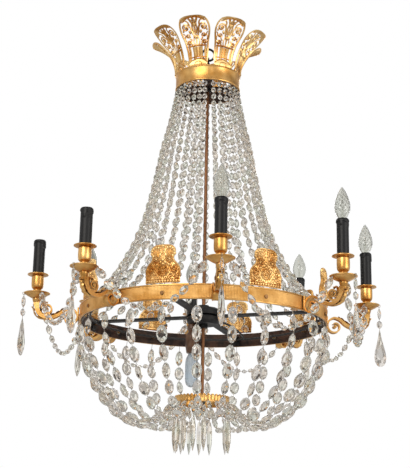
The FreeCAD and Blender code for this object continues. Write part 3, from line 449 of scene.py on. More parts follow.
def placed(meshes_and_places, name):
    """One mesh made of copies of others, each with its own matrix."""
    shape = bmesh.new()
    for source, place in meshes_and_places:
        copy = source.copy()
        copy.transform(place)
        if place.determinant() < 0:
            copy.flip_normals()
        shape.from_mesh(copy)
        bpy.data.meshes.remove(copy)
    mesh = bpy.data.meshes.new(name)
    shape.to_mesh(mesh)
    shape.free()
    return mesh


def smooth_line(points, count):
    """Evenly counted points on a smooth curve through the given ones (Catmull-Rom)."""
    points = [Vector(p) for p in points]
    spread = [2 * points[0] - points[1], *points, 2 * points[-1] - points[-2]]
    line = []
    for i in range(count + 1):
        t = i / count * (len(points) - 1)
        j = min(int(t), len(points) - 2)
        u = t - j
        a, b, c, d = spread[j:j + 4]
        line.append(0.5 * (2 * b + (c - a) * u + (2 * a - 5 * b + 4 * c - d) * u * u
                           + (3 * b - a - 3 * c + d) * u ** 3))
    return line


def spun(profile, steps=48, x=0.0, closed=False):
    """Surface of revolution: a chain of edges turned about +Z."""
    shape = bmesh.new()
    chain = [shape.verts.new((p[0], 0, p[1])) for p in profile]
    edges = [shape.edges.new(pair) for pair in zip(chain, chain[1:])]
    if closed:
        edges.append(shape.edges.new((chain[-1], chain[0])))
    bmesh.ops.spin(shape, geom=chain + edges, axis=Z_AXIS, cent=(0, 0, 0), dvec=(0, 0, 0),
                   angle=2 * math.pi, steps=steps, use_merge=True, use_duplicate=False)
    bmesh.ops.remove_doubles(shape, verts=shape.verts, dist=1e-6)
    bmesh.ops.translate(shape, vec=(x, 0, 0), verts=shape.verts)
    return shape


def all_round(mesh, name, count, start=0.0, skip=()):
    """Copies of a mesh round the Z axis."""
    step = 2 * math.pi / count
    return placed([(mesh, about_z(start + step * i)) for i in range(count) if i not in skip], name)


# %% [markdown]
# ## Kept metal parts
# The CAD shapes of the iron and copper parts are right as they are, so they only get a finish.
# They have no pattern of their own that a new mesh would add.

# %% Finish the kept parts
KEPT = {
    "hanging_ring": iron, "hook_eye": iron, "eye_coupling": iron, "central_rod": copper,
    "crown_liner": brown_iron, "crown_cross": brown_iron, "crown_nut": iron,
    "palmette_screws": old_brass, "ring_liner": brown_iron, "ring_cross": iron,
    "ornament_screws": old_brass, "junction_box": iron, "junction_base": iron, "hub_nut": iron,
    "lower_lampholder": bakelite, "arm_nuts": steel, "candle_nipples": steel,
    "lampholders": holder_black, "bare_lampholders": holder_black,
    "low_cross": brown_iron, "low_nut": iron,
}


def repaint(node, material):
    mesh = nodes[node].data
    mesh.materials.clear()
    mesh.materials.append(material)


for node, material in KEPT.items():
    repaint(node, material)
print("kept CAD parts with a finish:", len(KEPT))

# %% [markdown]
# ## Cut glass
# A bead is a flat oval, ground with a table on each side and two rows of facets round it.  It
# starts as one cone frustum from its girdle to the first row, whose top face is extruded and
# shrunk for the second row and the table; a mirror makes the other side.  Flat shading shows the
# facets.  Glass repeats a thousand times here, so each bead has only a few dozen faces.

# %% Bead and pin, one unit from middle to edge
def table_cut(sides=10, first=0.74, table=0.46, low=0.62):
    """Flat oval bead: thin along X, long along Z."""
    shape = bmesh.new()
    bmesh.ops.create_cone(shape, cap_ends=True, segments=sides, radius1=1.0, radius2=first, depth=low)
    bmesh.ops.translate(shape, vec=(0, 0, low / 2), verts=shape.verts)
    top = max(shape.faces, key=lambda f: f.calc_center_median().z)
    base = min(shape.faces, key=lambda f: f.calc_center_median().z)
    bmesh.ops.delete(shape, geom=[base], context="FACES_ONLY")
    grown = bmesh.ops.extrude_face_region(shape, geom=[top])["geom"]
    rim = [v for v in grown if isinstance(v, bmesh.types.BMVert)]
    bmesh.ops.delete(shape, geom=[top], context="FACES_ONLY")
    bmesh.ops.scale(shape, vec=(table / first, table / first, 1), verts=rim)
    bmesh.ops.translate(shape, vec=(0, 0, 1 - low), verts=rim)
    bmesh.ops.mirror(shape, geom=shape.verts[:] + shape.edges[:] + shape.faces[:], axis="Z",
                     merge_dist=1e-4)
    bmesh.ops.rotate(shape, matrix=Matrix.Rotation(math.radians(90), 3, "Y"), verts=shape.verts)
    return to_mesh(shape, "table_cut")


def pin_shape():
    """Short piece of wire: a cylinder along Z."""
    shape = bmesh.new()
    bmesh.ops.create_cone(shape, cap_ends=True, segments=5, radius1=1.0, radius2=1.0, depth=2.0)
    return to_mesh(shape, "pin")


OVAL = table_cut()
PIN = pin_shape()
print("faces of an oval bead:", len(OVAL.polygons))

# %% [markdown]
# **Strings.**  A string hangs on a smooth line from hook to hook.  Each bead has its real length
# on that line, with a short steel pin to the next one.  Real strings never hang with all beads
# facing the same way, so each bead is turned about the line by a chance angle.

# %% Helpers that thread beads on a line
PIN_R = 0.55 * MM
PIN_HOLD = 1.5 * MM
BEAD_GAP = 3.0 * MM


def walk(line):
    """Length of a line up to each of its points."""
    reach = [0.0]
    for a, b in zip(line, line[1:]):
        reach.append(reach[-1] + (b - a).length)
    return reach


def point_at(line, reach, s):
    """Point at a distance s along a line."""
    s = min(max(s, 0.0), reach[-1])
    i = next(n for n in range(1, len(reach)) if reach[n] >= s - 1e-9)
    share = (s - reach[i - 1]) / (reach[i] - reach[i - 1])
    return line[i - 1].lerp(line[i], share)


def set_in(a, b, face, width, thick, twist=0.0):
    """Matrix that stretches a unit shape between two points, its thin side towards face."""
    z = (b - a).normalized()
    y = z.cross(face).normalized()
    basis = Matrix((y.cross(z), y, z)).transposed().to_4x4()
    size = Matrix.Diagonal((thick / 2, width / 2, (b - a).length / 2, 1.0))
    return Matrix.Translation((a + b) / 2) @ basis @ Matrix.Rotation(twist, 4, "Z") @ size


def thread(line, lengths, widths, face, sway, flat, lead=0.0):
    """Places of the beads and pins of one string, whose first bead hangs on a lead of bare wire."""
    reach = walk(line)
    gap = (reach[-1] - lead - sum(lengths)) / (len(lengths) + 1)
    beads, pins, s = [], [], lead
    last = line[0]
    for i, long in enumerate(lengths):
        a, b = (point_at(line, reach, v) for v in (s + gap, s + gap + long))
        width = widths[i]
        twist = random.uniform(-sway, sway)
        beads.append((OVAL, set_in(a, b, face, width, width * flat[i], twist)))
        pins.append((last, a))
        last, s = b, s + gap + long
    pins.append((last, line[-1]))
    wires = []
    for a, b in pins:
        hold = (b - a).normalized() * PIN_HOLD
        wires.append((PIN, set_in(a - hold, b + hold, face, 2 * PIN_R, 2 * PIN_R)))
    return beads, wires


def graded(start, end, count, total, gap):
    """Bead lengths that run evenly from start to end and fill a total with their gaps."""
    raw = [start + (end - start) * i / (count - 1) for i in range(count)]
    share = (total - gap * (count + 1)) / sum(raw)
    return [v * share for v in raw]


def radial(points, count):
    """Smooth line through (radius, height above the ring's lower edge) points in millimetres."""
    return smooth_line([(r * MM, 0, RING_Z + h * MM) for r, h in points], count)


def strung(name, beads, wires, node):
    """The glass and the pins of a set of strings, as two pieces for one CAD node."""
    new_piece(name + "_glass", placed(beads, name + "_glass"), crystal, "frame", "crystal", node,
              faceted=True)
    new_piece(name + "_pins", placed(wires, name + "_pins"), steel, "frame", "crystal", node)


# %% [markdown]
# **The tent** is 32 strings from the crown to the main ring.  Their beads are flat ovals, small
# and close at the crown, that grow to 18 by 27 mm at the ring.  Two strings in front have slid
# aside on the ring, which is why the photograph shows the rod between them.

# %% Tent
TENT_COUNT = 32
TENT_BEADS = 25
TENT_LINE = [(72.8, 579.7), (82, 528), (94, 473), (105, 429), (118, 359), (131, 297), (146, 241),
             (163, 192), (184, 148), (209, 105), (238, 66), (262, 44), (278.2, 32.3)]
X_AXIS = Vector((1, 0, 0))
PUSHED_ASIDE = {31: math.radians(-3.9), 30: math.radians(-1.2)}


def around_strings(line, count, lengths, widths, face, sway, flat, lead=0.0, aside=None):
    """Beads and pins of a string that repeats round the axis, where some may be pushed aside."""
    beads, wires = [], []
    for i in range(count):
        turn = about_z(FRONT + math.pi / count + 2 * math.pi / count * i + (aside or {}).get(i, 0.0))
        some, pins = thread(line, lengths, widths, face, sway, flat, lead)
        beads += [(shape, turn @ place) for shape, place in some]
        wires += [(shape, turn @ place) for shape, place in pins]
    return beads, wires


line = radial(TENT_LINE, 110)
lengths = graded(14.5, 27.0, TENT_BEADS, walk(line)[-1] / MM, BEAD_GAP / MM)
lengths = [v * MM for v in lengths]
widths = [(12.0 + 6.0 * i / (TENT_BEADS - 1)) * MM for i in range(TENT_BEADS)]
flat = [0.80 - 0.008 * i for i in range(TENT_BEADS)]
beads, wires = around_strings(line, TENT_COUNT, lengths, widths, X_AXIS, math.radians(35), flat,
                              aside=PUSHED_ASIDE)
strung("tent", beads, wires, "tent_strings")
print("tent:", len(beads), "beads on", TENT_COUNT, "strings")

# %% [markdown]
# **The basket** is 24 strings from the main ring down to the low ring, of flat ovals of 23 by
# 38 mm that become smaller where the strings come together underneath.

# %% Basket
BASKET_COUNT = 24
BASKET_BEADS = 10
BASKET_LEAD = 10 * MM
BASKET_LINE = [(278.2, 0.7), (283, -28), (281, -62), (265, -102), (249, -134), (233, -159),
               (216, -181), (196, -202), (174, -217), (152, -225), (130, -225), (108, -216),
               (86, -198), (62.6, -176)]

line = radial(BASKET_LINE, 110)
lengths = graded(1.1, 0.9, BASKET_BEADS, walk(line)[-1] - BASKET_LEAD, BEAD_GAP)
widths = [v * MM for v in (23.5, 23.5, 23.5, 23.5, 23.5, 22, 20, 17, 14, 11)]
flat = [0.55] * 7 + [0.65, 0.8, 0.9]
beads, wires = around_strings(line, BASKET_COUNT, lengths, widths, Vector((1, 0, 0.2)),
                              math.radians(75), flat, BASKET_LEAD)
strung("basket", beads, wires, "basket_strings")
print("basket:", len(beads), "beads on", BASKET_COUNT, "strings")

# %% [markdown]
# **Swags** hang from each drip pan to the next one.  Their beads are large ovals at the ends and
# small ones in the middle.  A string with even load hangs in a parabola, near enough, and how
# deep each one hangs was read from the photograph.

# %% Swags
ARM_REACH = 382 * MM
RIM_Z = RING_Z + 63 * MM
PAN_R = 30 * MM
SWAG_SAGS = (125, 118, 108, 112, 108, 112, 92, 95)
SWAG_BEADS = 13
SWAG_STEPS = 60
HOLE_IN = 2.5 * MM            # from the pan's rim to the hole that holds a swag
HOLE_LOW = 2.3 * MM           # from the rim's height down to the wire's end


def swag_line(k):
    """Line of the swag after arm k, and the way that its beads face."""
    a, b = (about_z(arm_angle(k + i)) @ Vector((ARM_REACH, 0, 0)) for i in (0, 1))
    toward = (b - a).normalized()
    low = Z_AXIS * (RIM_Z - HOLE_LOW)
    start, end = a + toward * (PAN_R - HOLE_IN) + low, b - toward * (PAN_R - HOLE_IN) + low
    line = []
    for i in range(SWAG_STEPS + 1):
        t = i / SWAG_STEPS
        line.append(start.lerp(end, t) - Z_AXIS * SWAG_SAGS[k] * MM * (1 - (2 * t - 1) ** 2))
    return line, toward.cross(Z_AXIS)


beads, wires = [], []
for k in range(ARMS):
    line, face = swag_line(k)
    near = [abs(2 * i / (SWAG_BEADS - 1) - 1) for i in range(SWAG_BEADS)]
    raw = [15.0 + 21.0 * n ** 1.2 for n in near]
    share = (walk(line)[-1] - BEAD_GAP * (SWAG_BEADS + 1)) / sum(raw)
    lengths = [v * share for v in raw]
    widths = [(11.0 + 10.0 * n ** 1.2) * MM for n in near]
    flat = [0.85 - 0.25 * n for n in near]
    some, pins = thread(line, lengths, widths, face, math.pi, flat)
    beads += some
    wires += pins
strung("swag", beads, wires, "swags")
print("swags:", len(beads), "beads")

# %% [markdown]
# **Pear drops** hang from the rim of each drip pan on a small link: a long bead, a short one and
# a flat pear of 28 by 87 mm.  The pear is a flat outline of a few points, whose face is extruded
# and shrunk twice into two rows of facets and a table, and mirrored as the oval beads are.

# %% Pear drops
LINK_X = ARM_REACH + 29.25 * MM
LINK_Z = RIM_Z - 1.0 * MM - 1.1 * MM
LINK_R = 3.2 * MM
LINK_WIRE = 0.6 * MM
DROP_TWISTS = (5, -30, 0, 20, 45, -25, 65, 10)         # degrees, one for each arm
PEAR_OUTLINE = [(0.03, -1.0), (0.16, -0.82), (0.33, -0.5), (0.58, -0.18), (0.83, 0.1), (0.98, 0.36),
                (1.0, 0.5), (0.9, 0.72), (0.62, 0.9), (0.22, 0.99)]


def pear_cut():
    """Unit pear: thin along X, wide along Y, its point at z = -1."""
    shape = bmesh.new()
    outline = PEAR_OUTLINE + [(-y, z) for y, z in reversed(PEAR_OUTLINE)]
    face = shape.faces.new([shape.verts.new((0, y, z)) for y, z in outline])
    for shrink, rise in ((0.74, 0.62), (0.66, 0.38)):
        grown = bmesh.ops.extrude_face_region(shape, geom=[face])["geom"]
        bmesh.ops.delete(shape, geom=[face], context="FACES_ONLY")
        face = next(g for g in grown if isinstance(g, bmesh.types.BMFace))
        rim = list(face.verts)
        bmesh.ops.scale(shape, vec=(1, shrink, shrink), space=Matrix.Translation((0, 0, -0.22)),
                        verts=rim)
        bmesh.ops.translate(shape, vec=(rise, 0, 0), verts=rim)
    bmesh.ops.mirror(shape, geom=shape.verts[:] + shape.edges[:] + shape.faces[:], axis="X",
                     merge_dist=1e-4)
    return to_mesh(shape, "pear_cut")


def ring_of(radius, wire, x=0.0, y=0.0, z=0.0, turn=None, steps=40, sides=10):
    """Torus: a small circle spun round an axis; it stands in the XZ plane unless turned."""
    shape = bmesh.new()
    made = bmesh.ops.create_circle(shape, segments=sides, radius=wire)
    bmesh.ops.translate(shape, vec=(radius, 0, 0), verts=made["verts"])
    bmesh.ops.spin(shape, geom=shape.verts[:] + shape.edges[:], axis=(0, 1, 0), cent=(0, 0, 0),
                   dvec=(0, 0, 0), angle=2 * math.pi, steps=steps, use_merge=True)
    bmesh.ops.remove_doubles(shape, verts=shape.verts, dist=1e-6)
    if turn is not None:
        bmesh.ops.rotate(shape, matrix=turn.to_3x3(), verts=shape.verts)
    bmesh.ops.translate(shape, vec=(x, y, z), verts=shape.verts)
    return to_mesh(shape, "ring")


PEAR = pear_cut()
# Width and length in millimetres, shape, and thickness as a share of the width
HUNG = ((10, 26, OVAL, 0.75), (14, 18, OVAL, 0.65), (28, 87, PEAR, 12 / 28))
link_ring = ring_of(LINK_R, LINK_WIRE, x=LINK_X, z=LINK_Z)
for k in range(ARMS):
    turn = about_z(arm_angle(k))
    body = "pear_drop_%d_body" % (k + 1)
    z = LINK_Z - LINK_R
    hung, wires = [], [(link_ring, Matrix())]
    for width, long, shape, flat in HUNG:
        start = Vector((LINK_X, 0, z))
        top, low = start - Z_AXIS * BEAD_GAP, start - Z_AXIS * (BEAD_GAP + long * MM)
        hold = Z_AXIS * PIN_HOLD
        wires.append((PIN, set_in(top - hold, start + hold, X_AXIS, 2 * PIN_R, 2 * PIN_R)))
        twist = math.radians(90 + DROP_TWISTS[k]) if shape is PEAR else random.uniform(0, math.pi)
        hung.append((shape, set_in(top, low, X_AXIS, width * MM, width * flat * MM, -twist)))
        z = low.z
    glass = placed([(shape, turn @ place) for shape, place in hung], "pear_glass_%d" % (k + 1))
    pins = placed([(shape, turn @ place) for shape, place in wires], "pear_wire_%d" % (k + 1))
    new_piece("pear_glass_%d" % (k + 1), glass, crystal, body, "crystal", "pear_drop_%d" % (k + 1),
              faceted=True)
    new_piece("pear_wire_%d" % (k + 1), pins, steel, body, "crystal", "pear_drop_%d" % (k + 1))
print("pear drops: lowest point", round(z, 4))

# %% [markdown]
# **Icicles** are eight-sided rods that swell a little and end in a long point.  Each hangs under
# a small bead from the low ring.  A profile spun in eight steps keeps its flat facets.

# %% Icicles
LOW_RING_R = 61.5 * MM
LOW_Z = RING_Z - 180 * MM
ICICLES = 16
ICICLES_MISSING = (1, 2, 6)
ICICLE_PROFILE = [(0.0, 0.0), (0.6, 1.0), (3.0, 11.0), (5.6, 26.0), (6.0, 55.0), (4.6, 66.0),
                  (2.4, 75.0), (0.0, 76.0)]

icicle_x = LOW_RING_R - 1.25 * MM
icicle_low = LOW_Z - 108 * MM
rods = spun([(r * MM, icicle_low + h * MM) for r, h in ICICLE_PROFILE], steps=8)
rod_mesh = to_mesh(rods, "icicle")
bead_top = Vector((0, 0, LOW_Z - 5.8 * MM))
bead_low = Vector((0, 0, LOW_Z - 26.8 * MM))
pin_top = Vector((0, 0, LOW_Z - 0.3 * MM))
pin_low = Vector((0, 0, icicle_low + 74 * MM))
glass, wires = [], []
for i in range(ICICLES):
    if i in ICICLES_MISSING:
        continue
    place = about_z(FRONT + 2 * math.pi / ICICLES * i) @ Matrix.Translation((icicle_x, 0, 0))
    turn = about_z(random.uniform(0, math.pi))
    glass.append((rod_mesh, place @ turn))
    glass.append((OVAL, place @ set_in(bead_top, bead_low, X_AXIS, 11 * MM, 8 * MM,
                                       random.uniform(0, math.pi))))
    for a, b in ((pin_top, bead_top - Z_AXIS * PIN_HOLD), (bead_low + Z_AXIS * PIN_HOLD, pin_low)):
        wires.append((PIN, place @ set_in(a, b, X_AXIS, 2 * PIN_R, 2 * PIN_R)))
strung("icicle", glass, wires, "icicles")
print("icicles:", ICICLES - len(ICICLES_MISSING))

# %% [markdown]
# ## Candles
# Each arm ends in a boss, a saucer-shaped drip pan, a vase-shaped cup with a wide collar, and a
# black candle sleeve.  All are turned on a lathe, so each is a profile spun about its axis.  The
# profiles are drawn with few points and made smooth, and the pans' undersides get the ribs of
# chased leaves, which is a small wave round the axis.

# %% Drip pans and cups
PAN_Z = RING_Z + 50 * MM
CUP_Z = RING_Z + 57 * MM
CUP_TOP = CUP_Z + 51.5 * MM


def rounded(points, count):
    """Smooth profile through (radius, height) points in millimetres."""
    return [(p.x, p.z) for p in smooth_line([(r * MM, 0, h * MM) for r, h in points], count)]


def ribbed(shape, axis_x, count, depth, low, high, sharp=1.0):
    """Push a band of a spun shape in and out by a wave round its axis."""
    for v in shape.verts:
        if low < v.co.z < high:
            fade = math.sin(math.pi * (v.co.z - low) / (high - low))
            arm = Vector((v.co.x - axis_x, v.co.y, 0))
            wave = abs(math.cos(count * math.atan2(arm.y, arm.x) / 2)) ** sharp
            if arm.length > 1e-6:
                v.co += arm.normalized() * (depth * fade * (wave - 0.5))


under = rounded([(5.3, 50), (9, 50), (12.5, 51.3), (17, 53.8), (22, 56.6), (26, 59.2),
                 (28.6, 60.4)], 26)
lip = rounded([(29.6, 60.9), (30.0, 61.9), (29.5, 62.8), (28.0, 63.0)], 8)
bowl = rounded([(26.5, 62.4), (24.5, 61.2), (20.5, 59.6), (15, 58.2), (9, 57.2), (5.3, 57.0)], 16)
pan_profile = [(r, h + RING_Z) for r, h in under + lip + bowl]
pan = spun(pan_profile, steps=96, x=ARM_REACH, closed=True)
ribbed(pan, ARM_REACH, 32, 0.9 * MM, PAN_Z + 1.5 * MM, PAN_Z + 10.0 * MM, 0.7)
pan_mesh = to_mesh(pan, "pan")
new_piece("gilt_pans", all_round(pan_mesh, "gilt_pans", ARMS, FRONT), gilt, "frame", "gilt",
          "drip_pans")

foot = [(5.3, 57), (11, 57), (11.6, 58), (11.6, 59.4), (10.6, 60.4)]
stem = [(8.0, 62.5), (7.6, 64.4), (8.2, 66.6)]
knop = [(9.4, 67.6), (9.6, 68.6), (9.0, 69.8)]
vase = [(9.8, 71.6), (12.4, 74.4), (13.6, 78.5), (14.0, 85), (14.0, 92), (13.9, 97.5), (13.7, 101)]
collar = [(13.0, 102.3), (15.5, 103.2), (20.5, 103.9), (23.4, 104.4), (24.0, 105.4), (23.4, 106.6),
          (20.6, 107.0), (17.4, 107.8), (15.2, 108.4), (13.4, 108.5), (13.4, 105.5), (5.3, 105.5)]
cup_line = rounded(foot, 8) + rounded(stem, 6) + rounded(knop, 6) + rounded(vase, 20)
cup_line += rounded(collar[:8], 18) + [(r * MM, h * MM) for r, h in collar[8:]]
cup = spun([(r, h + RING_Z) for r, h in cup_line], steps=56, x=ARM_REACH, closed=True)
new_piece("gilt_cups", all_round(to_mesh(cup, "cup"), "gilt_cups", ARMS, FRONT), gilt, "frame",
          "gilt", "candle_cups")
print("pans and cups:", ARMS, "of each")

# %% [markdown]
# **Candle sleeves** are black tubes with a skin of wax at the top that ran down in drips of
# different lengths.  The skin is a thin spun tube whose lower edge is pulled down in a few lobes
# round the candle; each vertex moves in code, as a sculptor's grab brush would move it.

# %% Candle sleeves
SEAT_Z = CUP_TOP - 3 * MM
SLEEVE_TOP = SEAT_Z + 81.5 * MM
SLEEVE_R = 13 * MM
WAX_OUT = 1.5 * MM
WAX_LOW = SLEEVE_TOP - 40 * MM        # no drip reaches as low as this
WAX_ROWS = 37
DRIPS = 9


def wax_skin(seed):
    """Sleeve with a wax skin whose drips end at chance heights."""
    bore = SLEEVE_R - 1.4 * MM
    rows = [WAX_LOW + i * MM for i in range(WAX_ROWS)]
    profile = [(bore, SEAT_Z), (SLEEVE_R, SEAT_Z), (SLEEVE_R, WAX_LOW - MM)]
    profile += [(SLEEVE_R, z) for z in rows]
    profile += [(SLEEVE_R, SLEEVE_TOP - 2.4 * MM), (SLEEVE_R - 0.3 * MM, SLEEVE_TOP - 0.8 * MM),
                (SLEEVE_R - 0.9 * MM, SLEEVE_TOP), (bore, SLEEVE_TOP)]
    shape = spun(profile, steps=72, x=ARM_REACH, closed=True)
    luck = random.Random(seed)
    drips = [(luck.uniform(0, 2 * math.pi), luck.uniform(8, 26) * MM, luck.uniform(0.16, 0.34))
             for _ in range(DRIPS)]
    for v in shape.verts:
        arm = Vector((v.co.x - ARM_REACH, v.co.y, 0))
        if arm.length < SLEEVE_R - 0.1 * MM or v.co.z < WAX_LOW - 0.5 * MM:
            continue
        angle = math.atan2(arm.y, arm.x)
        reach = 9 * MM + 1.5 * MM * math.sin(3 * angle + seed)
        for centre, long, wide in drips:
            off = abs((angle - centre + math.pi) % (2 * math.pi) - math.pi) / wide
            if off < 1:
                reach = max(reach, long * math.cos(off * math.pi / 2) ** 0.5)
        depth = SLEEVE_TOP - v.co.z
        edge = min(max((reach - depth) / (2.2 * MM), 0.0), 1.0)
        swell = 0.62 + 0.38 * min(depth / reach, 1.0)
        crown = min(max(depth / (3.0 * MM), 0.0), 1.0)
        v.co += arm.normalized() * (WAX_OUT * edge * edge * (3 - 2 * edge) * swell * crown)
    return to_mesh(shape, "sleeve")


SLEEVES = {"candle_sleeves": (0, 1, 2, 3, 4, 5), "bare_candle_sleeves": (6, 7)}
for node, arms in SLEEVES.items():
    made = [(wax_skin(20 + k), about_z(arm_angle(k))) for k in arms]
    new_piece("black_" + node, placed(made, node), candle_black, "frame", "black_candle", node)
    print(node + ":", len(arms))

# %% [markdown]
# **Candle bulbs** have thin clear glass.  Those in front are twisted like a flame, those behind
# are plain.  The glass is one closed shell, an outer and an inner wall from one spun profile, so
# that light bends in and out of it as in a real bulb.  The flutes of a twisted bulb are pressed
# into its outer skin only, so its wall is thicker.

# %% Glass of the bulbs
HOLDER_TOP = SLEEVE_TOP - 3 * MM
BULB_R = 17.5 * MM
GLASS_WALL = 0.9 * MM
TWISTED_WALL = 1.6 * MM
BULB_SHAPE = [(0.40, 0.0), (0.46, 0.035), (0.62, 0.10), (0.82, 0.19), (0.96, 0.29), (1.0, 0.38),
              (0.965, 0.49), (0.85, 0.61), (0.67, 0.73), (0.46, 0.84), (0.27, 0.92), (0.10, 0.978)]
FLUTES = 9
FLUTE_DEPTH = 0.065           # as a share of the radius
FLUTE_START = 0.10            # as a share of the bulb's height
FLUTE_FADE = 0.2
TWIST_A_METRE = 62.0


def bulb_glass(tall, twisted):
    """Glass of a bulb that stands so tall over its sleeve."""
    low = HOLDER_TOP + 0.5 * MM
    span = SLEEVE_TOP + tall - low
    outer = smooth_line([(r * BULB_R, 0, low + h * span) for r, h in BULB_SHAPE], 40)
    tip = Vector((0, 0, low + span))
    wall = TWISTED_WALL if twisted else GLASS_WALL
    inner = [Vector((max(p.x - wall, 0.0), 0, p.z)) for p in reversed(outer)]
    profile = [(p.x, p.z) for p in [*outer, tip, tip - Z_AXIS * 2 * GLASS_WALL, *inner]]
    shape = spun(profile, steps=90, closed=True)
    if twisted:
        skin = {round(p.z / MM, 3): p.x for p in outer}
        for v in shape.verts:
            r = math.hypot(v.co.x, v.co.y)
            if r < skin.get(round(v.co.z / MM, 3), 0.0) - 0.5 * MM:
                continue
            turn = math.atan2(v.co.y, v.co.x) + TWIST_A_METRE * (v.co.z - low)
            share = min(max((v.co.z - low - FLUTE_START * span) / (FLUTE_FADE * span), 0.0), 1.0)
            grow = 1 - FLUTE_DEPTH * share * (1 - abs(math.cos(FLUTES * turn / 2)))
            v.co.x, v.co.y = v.co.x * grow, v.co.y * grow
    bmesh.ops.translate(shape, vec=(ARM_REACH, 0, 0), verts=shape.verts)
    return to_mesh(shape, "bulb")


# %% [markdown]
# **Inside a bulb** stand a glass stem, two wires and a coiled filament, and its metal cap sits in
# the lampholder.  A wire is a curve with a round bevel that is turned into a mesh at once.

# %% Stem, wires, filament and cap
LIT_ARMS = (0, 1, 2, 3, 4, 5)
TWISTED = (0, 1, 2)
FILAMENT_STEPS = 60
FILAMENT_TURNS = 12
FILAMENT_HALF = 4.2           # millimetres, from its middle to a wire
FILAMENT_ARCH = 5.5 * MM
COIL_R = 0.7 * MM


def wire_mesh(points, radius, sides=8, swell=None):
    """Round wire along points, by a bevelled curve turned into a mesh.  Swell scales its radius."""
    data = bpy.data.curves.new("wire", "CURVE")
    data.dimensions = "3D"
    data.bevel_depth = radius
    data.bevel_resolution = max(sides // 4 - 1, 0)
    data.use_fill_caps = True
    spline = data.splines.new("POLY")
    spline.points.add(len(points) - 1)
    for i, (point, place) in enumerate(zip(spline.points, points)):
        point.co = (*place, 1.0)
        point.radius = swell[i] if swell else 1.0
    helper = bpy.data.objects.new("wire", data)
    scene.collection.objects.link(helper)
    bpy.context.view_layer.update()
    drawn = helper.evaluated_get(bpy.context.evaluated_depsgraph_get())
    mesh = bpy.data.meshes.new_from_object(drawn)
    bpy.data.objects.remove(helper)
    bpy.data.curves.remove(data)
    return mesh


def bulb_inside(tall):
    """Glass stem, its two wires and a drawn-out filament."""
    low = HOLDER_TOP + 0.5 * MM
    stem = spun([(0, low), (5.0 * MM, low), (3.4 * MM, low + 6 * MM), (2.2 * MM, low + 16 * MM),
                 (2.8 * MM, low + 22 * MM), (1.6 * MM, low + 24 * MM), (0, low + 24.6 * MM)],
                steps=20, x=ARM_REACH)
    stem_mesh = to_mesh(stem, "stem")
    top = low + 0.52 * tall
    rise = [(1.2, low + 22 * MM), (3.0, low + 29 * MM), (FILAMENT_HALF, top)]
    wires = []
    for side in (-1, 1):
        wires.append(wire_mesh([(ARM_REACH, side * y * MM, z) for y, z in rise], 0.35 * MM))
    filament = []
    for i in range(FILAMENT_STEPS + 1):
        t = i / FILAMENT_STEPS
        turn = 2 * math.pi * FILAMENT_TURNS * t
        filament.append((ARM_REACH + COIL_R * math.cos(turn), (2 * t - 1) * FILAMENT_HALF * MM,
                         top + COIL_R * math.sin(turn) + FILAMENT_ARCH * math.sin(math.pi * t)))
    wires.append(wire_mesh(filament, 0.22 * MM))
    return stem_mesh, placed([(w, Matrix()) for w in wires], "filament")


cap = spun([(0, HOLDER_TOP - 20.5 * MM), (2.5 * MM, HOLDER_TOP - 20.5 * MM),
            (6.6 * MM, HOLDER_TOP - 17 * MM), (6.95 * MM, HOLDER_TOP - 15 * MM),
            (6.95 * MM, HOLDER_TOP + 0.5 * MM), (0, HOLDER_TOP + 0.5 * MM)], steps=32, x=ARM_REACH)
cap_mesh = to_mesh(cap, "cap")
for k in LIT_ARMS:
    body, node, turn = "bulb_%d_body" % (k + 1), "bulb_%d" % (k + 1), about_z(arm_angle(k))
    tall = (72 if k in TWISTED else 66) * MM
    stem_mesh, filament = bulb_inside(tall)
    for label, mesh, material in (("glass", bulb_glass(tall, k in TWISTED), bulb_clear),
                                  ("stem", stem_mesh, bulb_clear), ("filament", filament, steel),
                                  ("cap", cap_mesh.copy(), steel)):
        mesh.transform(turn)
        new_piece("%s_%s" % (node, label), mesh, material, body, "bulb_glass", node)
print("candle bulbs:", len(LIT_ARMS), "and twisted ones among them:", len(TWISTED))

# %% [markdown]
# ## Chased and cast ornament
# The palmettes, the mounts on the ring and the leaves of the arms were cast and then chased.
# Each is drawn flat, as a set of rounded strands and low domes, with x as the height of the
# relief, y across and z up the pattern.  Then every vertex moves to the curved sheet or band
# that carries the piece.  A strand is a curve with a round bevel, pressed to an oval section;
# a radius at each of its points makes it taper.  A thin plate behind them holds all together.

# %% Strands, domes and scrolls
def strand(points, wide, thick, ends=(1.0, 1.0), count=14, lift=0.0, sides=6):
    """Rounded strand through flat (across, up) points in millimetres."""
    line = smooth_line([(0, y * MM, z * MM) for y, z in points], count)
    radii = [ends[0] + (ends[1] - ends[0]) * i / count for i in range(count + 1)]
    mesh = wire_mesh(line, wide / 2 * MM, sides, radii)
    mesh.transform(Matrix.Translation((lift * MM, 0, 0)) @ Matrix.Diagonal((thick / wide, 1, 1, 1)))
    return mesh


def dome(y, z, half_y, half_z, high, lift=0.0, lean=0.0, segments=12, rows=7):
    """Low round boss of a casting."""
    shape = bmesh.new()
    bmesh.ops.create_uvsphere(shape, u_segments=segments, v_segments=rows, radius=MM)
    mesh = to_mesh(shape, "dome")
    mesh.transform(Matrix.Translation((lift * MM, y * MM, z * MM)) @ Matrix.Rotation(lean, 4, "X")
                   @ Matrix.Diagonal((high, half_y, half_z, 1)))
    return mesh


CUTS_REACH = 60.0             # cuts start this far to each side, further than any plate is wide


